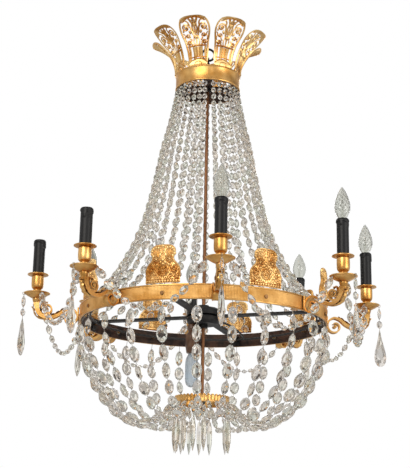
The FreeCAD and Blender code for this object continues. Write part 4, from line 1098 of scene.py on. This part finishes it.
def plate(half_outline, thick, low=0.0, step=3.0):
    """Flat sheet behind a relief, cut into small faces so that it can bend with its carrier."""
    outline = half_outline + [(-y, z) for y, z in reversed(half_outline) if y > 0]
    shape = bmesh.new()
    shape.faces.new([shape.verts.new((low * MM, y * MM, z * MM)) for y, z in outline])
    ups = [z for _, z in outline]
    for axis, first, last in ((1, -CUTS_REACH, CUTS_REACH), (2, min(ups), max(ups))):
        at = first + step
        while at < last:
            place, normal = Vector((0, 0, 0)), Vector((0, 0, 0))
            place[axis], normal[axis] = at * MM, 1
            bmesh.ops.bisect_plane(shape, geom=shape.verts[:] + shape.edges[:] + shape.faces[:],
                                   dist=1e-7, plane_co=place, plane_no=normal)
            at += step
    grown = bmesh.ops.extrude_face_region(shape, geom=shape.faces[:])["geom"]
    raised = [g for g in grown if isinstance(g, bmesh.types.BMVert)]
    bmesh.ops.translate(shape, vec=(thick * MM, 0, 0), verts=raised)
    return to_mesh(shape, "plate")


def scroll(y, z, radius, start, turn, end_radius=0.25):
    """Flat points of a spiral, from its outside inward.  Angles are in degrees."""
    points = []
    steps = max(int(abs(turn) / 40), 4)
    for i in range(steps + 1):
        r = radius * (1 - (1 - end_radius) * i / steps)
        a = math.radians(start + turn * i / steps)
        points.append((y + r * math.cos(a), z + r * math.sin(a)))
    return points


def both_sides(meshes):
    """The meshes and their mirror images."""
    mirror = Matrix.Diagonal((1, -1, 1, 1))
    return [(m, Matrix()) for m in meshes] + [(m, mirror) for m in meshes]


def bent(mesh, carry):
    """Move each vertex (height, across, up) to where carry puts it."""
    for v in mesh.vertices:
        v.co = carry(*v.co)
    return mesh


# %% [markdown]
# **Palmettes.**  Each leaf of the crown is openwork: an arched foot, two pilasters and a fluted
# keystone between them, a neck, two pairs of small volutes, a large pair of scrolls, a fan of
# petals, and a rim that goes all round and thickens at the top.  The sheet rises from the crown
# and bends outward by 72 mm.

# %% Palmettes
LEAF_SHEET = smooth_line([((76.1 + 72 * u) * MM, 0, (-70.5 + 95 * v) * MM) for u, v in
                          ((0, 0), (0.02, 0.2), (0.11, 0.42), (0.3, 0.68), (0.55, 0.89), (0.79, 1.0),
                           (1.0, 0.97))], 90)
LEAF_REACH = walk(LEAF_SHEET)
LEAF_RIM = [(20, -2.6), (22.5, 16), (24, 32), (26, 44), (28, 55), (31.5, 66), (34.6, 77), (36, 88),
            (35, 99), (31.5, 109), (25, 117), (14, 123.5), (0, 127)]


def on_sheet(high, across, up):
    """Place of a flat point on the bent sheet of a palmette."""
    place = point_at(LEAF_SHEET, LEAF_REACH, up)
    ahead = point_at(LEAF_SHEET, LEAF_REACH, up + MM)
    behind = point_at(LEAF_SHEET, LEAF_REACH, up - MM)
    along = (ahead - behind).normalized()
    outward = Vector((along.z, 0, -along.x))
    return place + outward * high + Vector((0, across, min(up, 0.0)))


def palmette():
    sides = [
        strand(LEAF_RIM, 4.8, 3.8, count=34),
        strand([(19.4, -2.6), (18.6, 18), (18.4, 32), (20, 43)], 6.4, 3.8, (1.0, 0.8)),
        strand([(7.4, 13), (7.0, 26), (8.2, 43)], 8.6, 4.2, (0.85, 1.1)),
        strand([(3.6, 45), (7.2, 55), (4.6, 70)], 3.8, 3.4, (0.8, 0.9)),
        strand([(9, 45), *scroll(18.6, 52, 6.4, 200, -470)], 4.0, 3.8, (1.1, 0.75), 26),
        strand([(10.5, 58), *scroll(19.8, 68.5, 6.0, 230, -450)], 3.8, 3.6, (0.9, 0.75), 26),
        strand([(25, 57), (27.5, 62), (26.5, 71), (30.5, 76)], 3.6, 3.2, (0.8, 0.8)),
        strand([(0.5, 62), (5.5, 71), (8.6, 81), (11.5, 92), *scroll(22, 89.5, 8.8, 120, -480)],
               4.8, 4.4, (1.0, 0.7), 36),
        strand([(12.5, 90), (13.5, 101), (20, 108), (30, 104)], 4.4, 3.8, (1.0, 0.7), 14),
        strand([(2.2, 74), (5.6, 88), (5.0, 101), (10.5, 113)], 5.0, 4.0, (0.7, 1.1)),
        dome(18.6, 52, 2.6, 2.6, 2.8),
        dome(19.8, 68.5, 2.4, 2.4, 2.6),
        dome(22, 89.5, 3.4, 3.4, 3.4),
        dome(13.5, 78, 3.0, 5.0, 2.6, lean=math.radians(-25)),
        dome(29, 82, 2.2, 4.0, 2.4),
        dome(6.4, 106, 3.4, 4.4, 2.8),
    ]
    middle = [
        plate([(0, 14.0), (7, 13.0), (14, 9.6), (20, 4.6), (22.4, 1.0), (22.4, -2.6)], 2.4, -1.2),
        strand([(-22, 3), (-14, 9.4), (0, 13.4), (14, 9.4), (22, 3)], 5.0, 5.4, count=20),
        strand([(-9, -2.6), (-7, 4.2), (0, 7.4), (7, 4.2), (9, -2.6)], 3.0, 5.2, count=16),
        strand([(-20.5, 16.5), (0, 19), (20.5, 16.5)], 3.2, 4.6),
        strand([(0, 18), (0, 43)], 7.4, 4.8, (0.85, 1.1)),
        strand([(-22.5, 44), (0, 46), (22.5, 44)], 4.6, 4.8),
        strand([(0, 46), (0, 64)], 4.4, 3.8, (0.7, 1.2)),
        strand([(0, 64), (0, 90), (0, 114)], 5.4, 4.6, (0.6, 1.2)),
        strand([(-29, 108.5), (-16, 118), (0, 121), (16, 118), (29, 108.5)], 12.0, 4.4, count=24),
        dome(0, 66, 5.0, 4.6, 3.8), dome(0, 96, 4.4, 6.0, 3.6),
    ]
    return bent(placed(both_sides(sides) + [(m, Matrix()) for m in middle], "palmette"), on_sheet)


leaf = palmette()
crown_leaves = all_round(leaf, "crown_leaves", ARMS, FRONT + ARM_STEP / 2)
new_piece("crown_leaves", crown_leaves, gilt_cast, "frame", "gilt", "crown_palmettes")
print("palmettes:", len(leaf.polygons), "faces each")

# %% [markdown]
# **Mounts on the ring.**  Each is one casting: a sheet with a waisted outline, on which a plinth
# carries a wheel with spokes, a pair of scrolls beside it, two rosettes above them, and tufts of
# leaves that fan out to the top.  The ground between them is covered with small leaves that
# point up and outward, set in rows and a little out of line, and larger ones follow the edge.

# %% Mounts on the ring
MOUNT_R = 281.7 * MM
MOUNT_LOW = RING_Z + 35.5 * MM


def on_ring(high, across, up):
    """Place of a flat point on the round face of a mount."""
    turn, reach = across / MOUNT_R, MOUNT_R + high
    return Vector((reach * math.cos(turn), reach * math.sin(turn), MOUNT_LOW + up))


print("mounts stand", round((MOUNT_LOW - RING_Z) / MM, 1), "mm above the ring's lower edge")

# %% [markdown]
# **Parts of a mount.**  A tuft is a fan of tapered strands with a dome at each tip, a wheel is two
# hoops with spokes, and the ground leaves are low domes set in rows inside the outline.

# %% Tufts, wheel and ground leaves
def fan(y, z, reach, first, last, count, wide):
    """Leaf tuft: tapered strands that spread from a point, bulging in the middle."""
    made = []
    for i in range(count):
        a = math.radians(first + (last - first) * i / (count - 1))
        long = reach * (0.86 + 0.14 * math.sin(math.pi * i / (count - 1)))
        tip = (y + long * math.cos(a), z + long * math.sin(a))
        mid = (y + 0.5 * long * math.cos(a - 0.12), z + 0.5 * long * math.sin(a - 0.12))
        made.append(strand([(y, z), mid, tip], wide, 4.6, (0.5, 1.0), 8, 1.0))
        made.append(dome(*tip, wide * 0.62, wide * 0.62, 3.4, 1.2, segments=10, rows=6))
    return made


def wheel(y, z, radius):
    """Two hoops, a hub and eight spokes."""
    outside = strand(scroll(y, z, radius, 0, 360, 1.0), 2.6, 3.4, count=28, lift=2.6)
    inside = strand(scroll(y, z, radius * 0.58, 0, 360, 1.0), 1.6, 2.4, count=20, lift=2.2)
    spokes = [strand([(y, z), (y + radius * math.cos(a), z + radius * math.sin(a))], 1.5, 2.0,
                     count=3, lift=2.0) for a in (math.pi / 4 * i for i in range(8))]
    return [outside, inside, dome(y, z, 2.6, 2.6, 3.4, 2.0), *spokes]


MOUNT_SHEET = [(0, 80.5), (6, 80), (13, 79.5), (20, 77.5), (25, 73), (26.5, 67), (25, 60), (23, 53),
               (24.5, 47), (29, 41.5), (34, 35), (37, 27), (37.6, 18), (37.6, 0.2)]


def ground_leaves(outline, spacing=4.3, edge=2.4):
    """Small leaves in rows over half of a sheet, and a row of larger ones along its edge."""
    luck = random.Random(5)
    made = []
    rim = smooth_line([(0, y, z) for y, z in outline], 34)
    for p in rim[1:-2]:
        made.append(dome(p.y - 1.2, p.z, 2.3, 2.9, 3.0, 0.8, math.atan2(-p.y, p.z + 8), 8, 5))
    up = 8.0
    while up < outline[0][1] - edge:
        half = min(p.y for p in rim if abs(p.z - up) < 4.0 and p.y > 1.0) - edge
        row = int(up / spacing) % 2
        across = spacing * (0.5 + 0.5 * row)
        while across < half:
            y, z = across + luck.uniform(-0.6, 0.6), up + luck.uniform(-0.6, 0.6)
            size = luck.uniform(0.8, 1.1)
            made.append(dome(y, z, 1.6 * size, 2.5 * size, 2.6, 0.9, math.atan2(-y, z + 8), 8, 5))
            across += spacing
        up += spacing * 0.86
    return made


# %% [markdown]
# **One mount** is half of the pattern and its mirror image, with the pieces of the middle, bent
# round the ring.  Eight copies stand between the arms, each a piece of its own, because a single
# piece would have too many faces.

# %% The eight mounts
def mount():
    """Casting of one mount, in front of the X axis."""
    sides = [
        *ground_leaves(MOUNT_SHEET),
        strand(scroll(24.5, 28, 8.6, 100, -520), 4.6, 5.2, (1.15, 0.7), 34, 1.2),
        strand([(13, 40), (20, 44.5), (27.5, 42), (34, 34), (36, 25), (34, 17)], 4.6, 5.0,
               (0.8, 1.1), 20, 0.8),
        strand(scroll(30, 13.6, 5.8, 80, -430), 3.6, 4.6, (1.1, 0.7), 24, 1.2),
        strand([(36, 8), (27, 9.4), (20, 15.5), (12, 15.5)], 4.2, 4.4, (1.0, 0.7), 14, 0.8),
        strand(scroll(14.5, 50.5, 6.6, 0, 360, 1.0), 3.0, 4.2, count=22, lift=1.6),
        dome(14.5, 50.5, 3.0, 3.0, 3.4, 1.6),
        dome(24.5, 28, 3.0, 3.0, 3.8, 1.0),
        dome(13, 38.5, 3.4, 5.0, 3.0, 0.8, math.radians(30)),
        dome(19, 20, 3.0, 4.4, 2.8, 0.8, math.radians(-40)),
        dome(34, 30, 2.4, 4.6, 2.6, 0.8, math.radians(15)),
        dome(5.2, 44, 3.4, 5.4, 3.0, 0.8, math.radians(10)),
        dome(21.5, 57.5, 3.2, 4.2, 2.8, 0.8, math.radians(20)),
        dome(6, 60, 3.4, 5.4, 3.2, 0.8),
        *fan(8, 58, 20, 14, 84, 5, 6.0),
    ]
    for i in range(6):
        a = math.radians(60 * i + 30)
        sides.append(dome(14.5 + 4.2 * math.cos(a), 50.5 + 4.2 * math.sin(a), 1.8, 1.8, 2.4, 2.0,
                          segments=8, rows=5))
    middle = [
        plate(MOUNT_SHEET, 1.6),
        strand([(-37.4, 1.8), (0, 1.8), (37.4, 1.8)], 4.2, 5.4, count=16, lift=0.4),
        strand([(-36.8, 7.2), (0, 7.2), (36.8, 7.2)], 2.6, 5.6, count=16, lift=0.6),
        strand([(0, 56), (0, 66), (0, 78)], 6.4, 5.2, (0.7, 1.0), 8, 1.0),
        dome(0, 78.5, 3.6, 3.4, 3.4, 1.4),
        dome(0, 49, 4.4, 5.4, 3.4, 0.8),
        dome(0, 40.5, 5.4, 3.6, 3.0, 0.8),
        *wheel(0.0, 25.5, 11.0),
    ]
    middle += [dome(-33 + 6 * i, 4.4, 1.9, 1.7, 2.4, 2.0, segments=8, rows=5) for i in range(12)]
    return bent(placed(both_sides(sides) + [(m, Matrix()) for m in middle], "mount"), on_ring)


casting = mount()
for k in range(ARMS):
    mesh = casting.copy()
    mesh.transform(about_z(arm_angle(k + 0.5)))
    new_piece("ring_mount_%d" % (k + 1), mesh, gilt_cast, "frame", "gilt", "ring_ornaments")
print("mounts:", len(casting.polygons), "faces each")

# %% [markdown]
# **Bands.**  The ring's face is milled with a fine net of sunk points between two polished rims.
# The net is real geometry: a grid is wrapped round the ring, and each of its cells is poked into
# a shallow pyramid.  The crown's band is plain, with a soldered seam that faces the viewer.  The
# low ring has upright ridges with pointed tops, which are waves of its wall and its upper edge.

# %% Bands
def hoop(rows, steps=192):
    """Closed band: a profile in (radius, height above the ring's lower edge)."""
    return spun([(r * MM, RING_Z + h * MM) for r, h in rows], steps, closed=True)


def milled_face(radius, low, high, round_count, rows, depth):
    """Grid wrapped round the axis, its cells poked inwards."""
    shape = bmesh.new()
    bmesh.ops.create_grid(shape, x_segments=round_count, y_segments=rows, size=0.5)
    for v in shape.verts:
        turn = 2 * math.pi * (v.co.x + 0.5)
        up = low + (high - low) * (v.co.y + 0.5)
        v.co = Vector((radius * math.cos(turn), radius * math.sin(turn), up))
    bmesh.ops.remove_doubles(shape, verts=shape.verts, dist=1e-6)
    bmesh.ops.recalc_face_normals(shape, faces=shape.faces)
    inward = [f for f in shape.faces if f.normal.dot(f.calc_center_median()) < 0]
    if len(inward) > len(shape.faces) / 2:
        bmesh.ops.reverse_faces(shape, faces=shape.faces)
    bmesh.ops.poke(shape, faces=shape.faces, offset=-depth)
    return to_mesh(shape, "milled", outward=False)


RING_ROWS = [(280.0, 0.2), (280.6, 0), (283.6, 0), (284.2, 0.8), (284.2, 2.4), (283.4, 3.3), (282.8, 3.6),
             (282.6, 4.4), (282.6, 28.6), (282.8, 29.4), (283.4, 29.7), (284.2, 30.6), (284.2, 32.2),
             (283.6, 33), (280.6, 33), (280.0, 32.8)]
band = to_mesh(hoop(RING_ROWS), "milled_ring")
NET_ROUND, NET_ROWS, NET_DEEP = 560, 9, 0.40 * MM
face = milled_face(283.1 * MM, RING_Z + 3.5 * MM, RING_Z + 29.5 * MM, NET_ROUND, NET_ROWS, NET_DEEP)
new_piece("milled_ring", band, gilt_smooth, "frame", "gilt", "ring_band")
new_piece("milled_net", face, gilt_matt, "frame", "gilt", "ring_band", faceted=True)

CROWN_ROWS = [(74.6, 579.2), (75.2, 579), (78.2, 579), (78.8, 579.8), (78.8, 581.6), (78.0, 582.6),
              (77.6, 583.6), (77.6, 612.4), (78.0, 613.4), (78.8, 614.4), (78.8, 616.2), (78.2, 617),
              (75.2, 617), (74.6, 616.8)]
CROWN_FACE_R = 77.6 * MM
SEAM_HALF = 1.3 * MM
SEAM_DEEP = 0.7 * MM
crown_wall = hoop(CROWN_ROWS, 128)
for v in crown_wall.verts:
    off = abs(math.atan2(v.co.y, v.co.x) - FRONT) * CROWN_FACE_R
    if off < SEAM_HALF and Vector(v.co.xy).length > 77 * MM:
        v.co -= Vector((v.co.x, v.co.y, 0)).normalized() * SEAM_DEEP
new_piece("crown_hoop", to_mesh(crown_wall, "crown_hoop"), gilt_smooth, "frame", "gilt", "crown_band")

LOW_ROWS = [(59.0, -180), (61.3, -180), (61.5, -178.8), (61.0, -177.4), (60.4, -176.4), (60.2, -174),
            (60.2, -171), (60.2, -168), (60.4, -165.6), (61.0, -164.6), (61.5, -163.2), (61.3, -162),
            (59.0, -162)]
RIDGES = 40
RIDGE_OUT = 1.1 * MM
NOTCH_START, NOTCH_TALL, NOTCH_DEEP = -169, 7, 5.0 * MM
low_wall = hoop(LOW_ROWS, 240)
for v in low_wall.verts:
    radius = Vector(v.co.xy).length
    height = (v.co.z - RING_Z) / MM
    wave = abs(math.cos(RIDGES / 2 * math.atan2(v.co.y, v.co.x))) ** 0.7
    if radius > 59.8 * MM and -177 < height < -165:
        v.co += Vector((v.co.x, v.co.y, 0)).normalized() * (RIDGE_OUT * wave)
    if height > NOTCH_START:
        v.co.z -= NOTCH_DEEP * (1 - wave) * (height - NOTCH_START) / NOTCH_TALL
new_piece("gadrooned_ring", to_mesh(low_wall, "gadrooned_ring"), gilt, "frame", "gilt", "low_ring")
print("milled net:", len(face.polygons), "faces; low ring:", RIDGES, "ridges")

# %% [markdown]
# **Arms.**  Each arm is a ribbon with a groove between two raised edges, rolled at the ring into
# an open volute with a rosette, and bent up to a boss under the pan.  A second, small scroll sits
# in the bend.  The ribbon is a section extruded step by step along the arm's line, and the
# same helper makes both scrolls.

# %% Ribbon of the arms
ARM_WIDE = 16.0
TAIL, CREST, BEND, STEM = 2.8, 6.4, 7.6, 13.0       # thickness of the ribbon along the arm
ARM_LINE = [(317.0, CREST - 1, 24.2), (330.5, CREST, 13.2), (344.0, BEND, 7.4), (358.0, BEND, 6.5),
            (370.5, BEND + 1.5, 11.5), (378.6, 10.4, 23.5), (382.0, STEM, 40.0)]
VOLUTE = (305.0, 8.0)
CURL = (358.0, 26.0)
GROOVED = [(-0.5, -0.5), (-0.5, 0.5), (-0.37, 0.5), (-0.30, 0.28), (0.30, 0.28), (0.37, 0.5), (0.5, 0.5),
           (0.5, -0.5), (0.37, -0.5), (0.30, -0.28), (-0.30, -0.28), (-0.37, -0.5)]


def coil(centre, radius, shrink, start, turn, thick, steps=30):
    """Scroll in the arm's plane: (radius, thickness, height) points, from its outside inward."""
    points = []
    for i in range(steps + 1):
        angle = math.radians(start + turn * i / steps)
        r = radius - shrink * abs(turn) / 360 * i / steps
        points.append((centre[0] + r * math.cos(angle), thick[0] + (thick[1] - thick[0]) * i / steps,
                       centre[1] + r * math.sin(angle)))
    return points


def arm_frames(points, wide, count):
    """Frames along a smooth line, X across the ribbon and Y through its thickness."""
    line = smooth_line(points, count)
    places = [Vector((p.x * MM, 0, RING_Z + p.z * MM)) for p in line]
    frames = []
    for i, place in enumerate(places):
        along = (places[min(i + 1, count)] - places[max(i - 1, 0)]).normalized()
        basis = Matrix((Vector((0, 1, 0)), along.cross(Vector((0, 1, 0))), along)).transposed().to_4x4()
        size = Matrix.Diagonal((wide * MM, line[i].y * MM, 1, 1))
        frames.append(Matrix.Translation(place) @ basis @ size)
    return frames


def swept(section, frames):
    """Solid made by extruding a flat section through a row of frames."""
    shape = bmesh.new()
    start = face = shape.faces.new([shape.verts.new((x, y, 0)) for x, y in section])
    bmesh.ops.transform(shape, matrix=frames[0], verts=shape.verts)
    for before, after in zip(frames, frames[1:]):
        grown = bmesh.ops.extrude_face_region(shape, geom=[face])["geom"]
        if face is not start:
            bmesh.ops.delete(shape, geom=[face], context="FACES_ONLY")
        face = next(g for g in grown if isinstance(g, bmesh.types.BMFace))
        bmesh.ops.transform(shape, matrix=after @ before.inverted(), verts=list(face.verts))
    return to_mesh(shape, "swept")


# %% [markdown]
# **Leaves, rosettes and seats of the arms.**  An acanthus leaf climbs the inside of the stem,
# another one covers its outside, and a third runs down from the volute along the ribbon.  A leaf
# is a grid laid along a spine, whose width swells and is notched, and whose halves droop from a
# midrib; solidify gives it a thickness.  Rosettes close the scrolls, and a bevelled plate seats
# the arm on the ring.

# %% Leaves, rosettes and seats
def acanthus(points, wide, lobes, cup=0.18, thick=1.1, count=30):
    """Leaf along a spine in the arm's plane, with a lobed edge and a midrib."""
    spine = smooth_line([(r * MM, 0, RING_Z + h * MM) for r, h in points], count)
    shape = bmesh.new()
    bmesh.ops.create_grid(shape, x_segments=8, y_segments=count, size=0.5)
    for v in shape.verts:
        share, side = v.co.y + 0.5, v.co.x * 2
        i = round(share * count)
        along = (spine[min(i + 1, count)] - spine[max(i - 1, 0)]).normalized()
        out = Vector((0, 1, 0)).cross(along)
        full = (1 - share) ** 0.55 * (0.6 + 1.1 * share)
        notch = 1 - 0.30 * abs(math.cos(lobes * math.pi * share)) ** 3
        half = wide / 2 * MM * full * notch
        vein = 0.5 * MM * math.cos(math.pi * min(abs(side) * 1.6, 1.0))
        droop = cup * wide * MM * side * side * (0.6 + 0.4 * math.cos(2 * lobes * math.pi * share))
        v.co = spine[i] + Vector((0, side * half, 0)) + out * (vein - droop)
    bmesh.ops.recalc_face_normals(shape, faces=shape.faces)
    bmesh.ops.solidify(shape, geom=shape.faces[:], thickness=thick * MM)
    return to_mesh(shape, "leaf")


def rosette(centre, reach):
    """Six-petalled boss on both faces of a scroll's centre."""
    half = [(0.0, reach), (1.3, reach - 0.1), (1.9, reach - 0.8), (2.6, reach - 0.2), (3.8, reach - 0.3),
            (4.6, reach - 1.2), (4.2, reach - 2.0)]
    shape = spun([(r * MM, h * MM) for r, h in half + [(r, -h) for r, h in reversed(half)]], 36)
    for v in shape.verts:
        petal = 1 - 0.16 * abs(math.sin(3 * math.atan2(v.co.y, v.co.x)))
        v.co.x, v.co.y = v.co.x * petal, v.co.y * petal
    bmesh.ops.rotate(shape, matrix=Matrix.Rotation(math.radians(90), 3, "X"), verts=shape.verts)
    bmesh.ops.translate(shape, vec=(centre[0] * MM, 0, RING_Z + centre[1] * MM), verts=shape.verts)
    return to_mesh(shape, "rosette")


def foot_plate():
    """Plate that seats on the ring, with the stud that goes through it."""
    shape = bmesh.new()
    bmesh.ops.create_cube(shape, size=1.0)
    bmesh.ops.scale(shape, vec=(4 * MM, 18 * MM, 30 * MM), verts=shape.verts)
    bmesh.ops.bevel(shape, geom=shape.edges[:], offset=1.2 * MM, segments=3, profile=0.5, affect="EDGES",
                    material=-1)
    bmesh.ops.translate(shape, vec=(286.5 * MM, 0, RING_Z + 16.5 * MM), verts=shape.verts)
    stud = bmesh.ops.create_cone(shape, cap_ends=True, segments=20, radius1=2.5 * MM, radius2=2.5 * MM,
                                 depth=20 * MM)["verts"]
    bmesh.ops.rotate(shape, matrix=Matrix.Rotation(math.radians(90), 3, "Y"), verts=stud)
    bmesh.ops.translate(shape, vec=(277 * MM, 0, RING_Z + 15 * MM), verts=stud)
    return to_mesh(shape, "foot")


def stem_boss():
    """Turned boss under the pan, with a bead where it meets the stem."""
    rows = [(0, 33), (5.6, 33), (7.4, 33.6), (8.0, 34.8), (7.4, 36.0), (6.6, 36.8), (6.8, 39), (7.8, 42),
            (8.9, 45), (9.5, 47), (9.5, 48.2), (8.8, 49), (8.8, 50), (0, 50)]
    return to_mesh(spun([(r * MM, RING_Z + h * MM) for r, h in rows], 40, x=ARM_REACH), "boss")


# %% [markdown]
# **Eight arms** are copies of one mesh, each turned to its place and named, because each stands
# for a CAD node of its own.

# %% Arms
volute = coil(VOLUTE, 20.2, 12.4, 90, 400, (CREST - 2.0, TAIL - 0.4), 36)[::-1]
ribbon = swept(GROOVED, arm_frames(volute + ARM_LINE, ARM_WIDE, 150))
curl = swept(GROOVED, arm_frames(coil(CURL, 13.5, 7.2, -60, -420, (4.4, 2.6)), ARM_WIDE - 2, 70))
leaves = [acanthus([(367, 13), (371.5, 24), (371, 35), (364.5, 42.5), (357, 41)], 17, 4),
          acanthus([(360, 2.6), (374, 4.8), (384, 13.6), (387.5, 24), (390.5, 30.5)], 14, 4),
          acanthus([(313, 29.8), (321.5, 25.4), (332, 18.0), (343, 13.0), (351, 14.8)], 14, 4)]
pieces = [ribbon, curl, *leaves, rosette(VOLUTE, 9.5), rosette(CURL, 9.5), foot_plate(), stem_boss()]
arm_mesh = placed([(m, Matrix()) for m in pieces], "arm")
for k in range(ARMS):
    mesh = arm_mesh.copy()
    mesh.transform(about_z(arm_angle(k)))
    new_piece("scroll_arm_%d" % (k + 1), mesh, gilt, "frame", "gilt", "arm_%d" % (k + 1))
print("arms:", len(arm_mesh.polygons), "faces each")

# %% [markdown]
# ** Cable.** A black cable leaves the junction box and runs out to a loop that lies along the
# inside of the ring, where the wires of the arms join it.  The loop is a closed ring, and the
# lead is a cord of 23 cm.

# %% Cable
LOOM_R = 2.5 * MM
LOOM_RING = 259 * MM
LOOM_Z = -674.8 * MM
loop = ring_of(LOOM_RING, LOOM_R, z=LOOM_Z, turn=Matrix.Rotation(math.radians(90), 4, "X"), steps=160)
new_piece("cable_loop", loop, rubber, "frame", "cable", "wiring_loom")


def round_about(degrees, radius, drop=0.0):
    """Point at an angle and a radius in millimetres, at the height of the loop or below it."""
    a = math.radians(degrees)
    return Vector((radius * MM * math.cos(a), radius * MM * math.sin(a), LOOM_Z - drop * MM))


lead_points = [round_about(20, 40.7), round_about(42, 128.0, 3.0), round_about(62, 259)]
lead_curve = bpy.data.curves.new("cable_lead", "CURVE")
lead_curve.dimensions = "3D"
lead_curve.bevel_depth = LOOM_R
lead_curve.bevel_resolution = 3
lead_curve.use_fill_caps = True
spline = lead_curve.splines.new("NURBS")
spline.points.add(len(lead_points) - 1)
for point, place in zip(spline.points, lead_points):
    point.co = (*place, 1.0)
spline.order_u = 3
spline.use_endpoint_u = True
spline.resolution_u = 16
lead_curve.materials.append(rubber)
lead = bpy.data.objects.new("cable_lead", lead_curve)
scene.collection.objects.link(lead)
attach(lead, "frame")
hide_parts("wiring_loom")
print("cable: a loop of", round(2 * math.pi * LOOM_RING, 2), "m and a lead")

# %% [markdown]
# **Inner lamp.**  A frosted tube bulb hangs in a brown holder inside the basket.

# %% Inner lamp
LAMP_X = -25 * MM
LAMP_LINE = [(7.4, -755), (9.0, -759), (12.6, -766), (14.4, -775), (14.5, -790), (14.5, -806),
             (14.3, -816), (12.4, -824), (8.0, -829.6), (3.6, -831.6)]
outer = [(p.x, p.z) for p in smooth_line([(r * MM, 0, z * MM) for r, z in LAMP_LINE], 36)]
inner = [(max(r - GLASS_WALL, 0), z + 0.4 * MM) for r, z in reversed(outer)]
tube_glass = spun([*outer, (0, -832 * MM), (0, -830.6 * MM), *inner], 48, x=LAMP_X, closed=True)
new_piece("tube_glass", to_mesh(tube_glass, "tube_glass"), frosted, "inner_bulb_body", "frosted_glass",
          "inner_bulb")
tube_cap = spun([(0, -736), (2.5, -736), (6.6, -739), (6.95, -741), (6.95, -755), (0, -755)], 32)
for v in tube_cap.verts:
    v.co = Vector((v.co.x * MM + LAMP_X, v.co.y * MM, v.co.z * MM))
new_piece("tube_cap", to_mesh(tube_cap, "tube_cap"), steel, "inner_bulb_body", "frosted_glass",
          "inner_bulb")
print("inner lamp: lowest point", round(-832 * MM, 3))
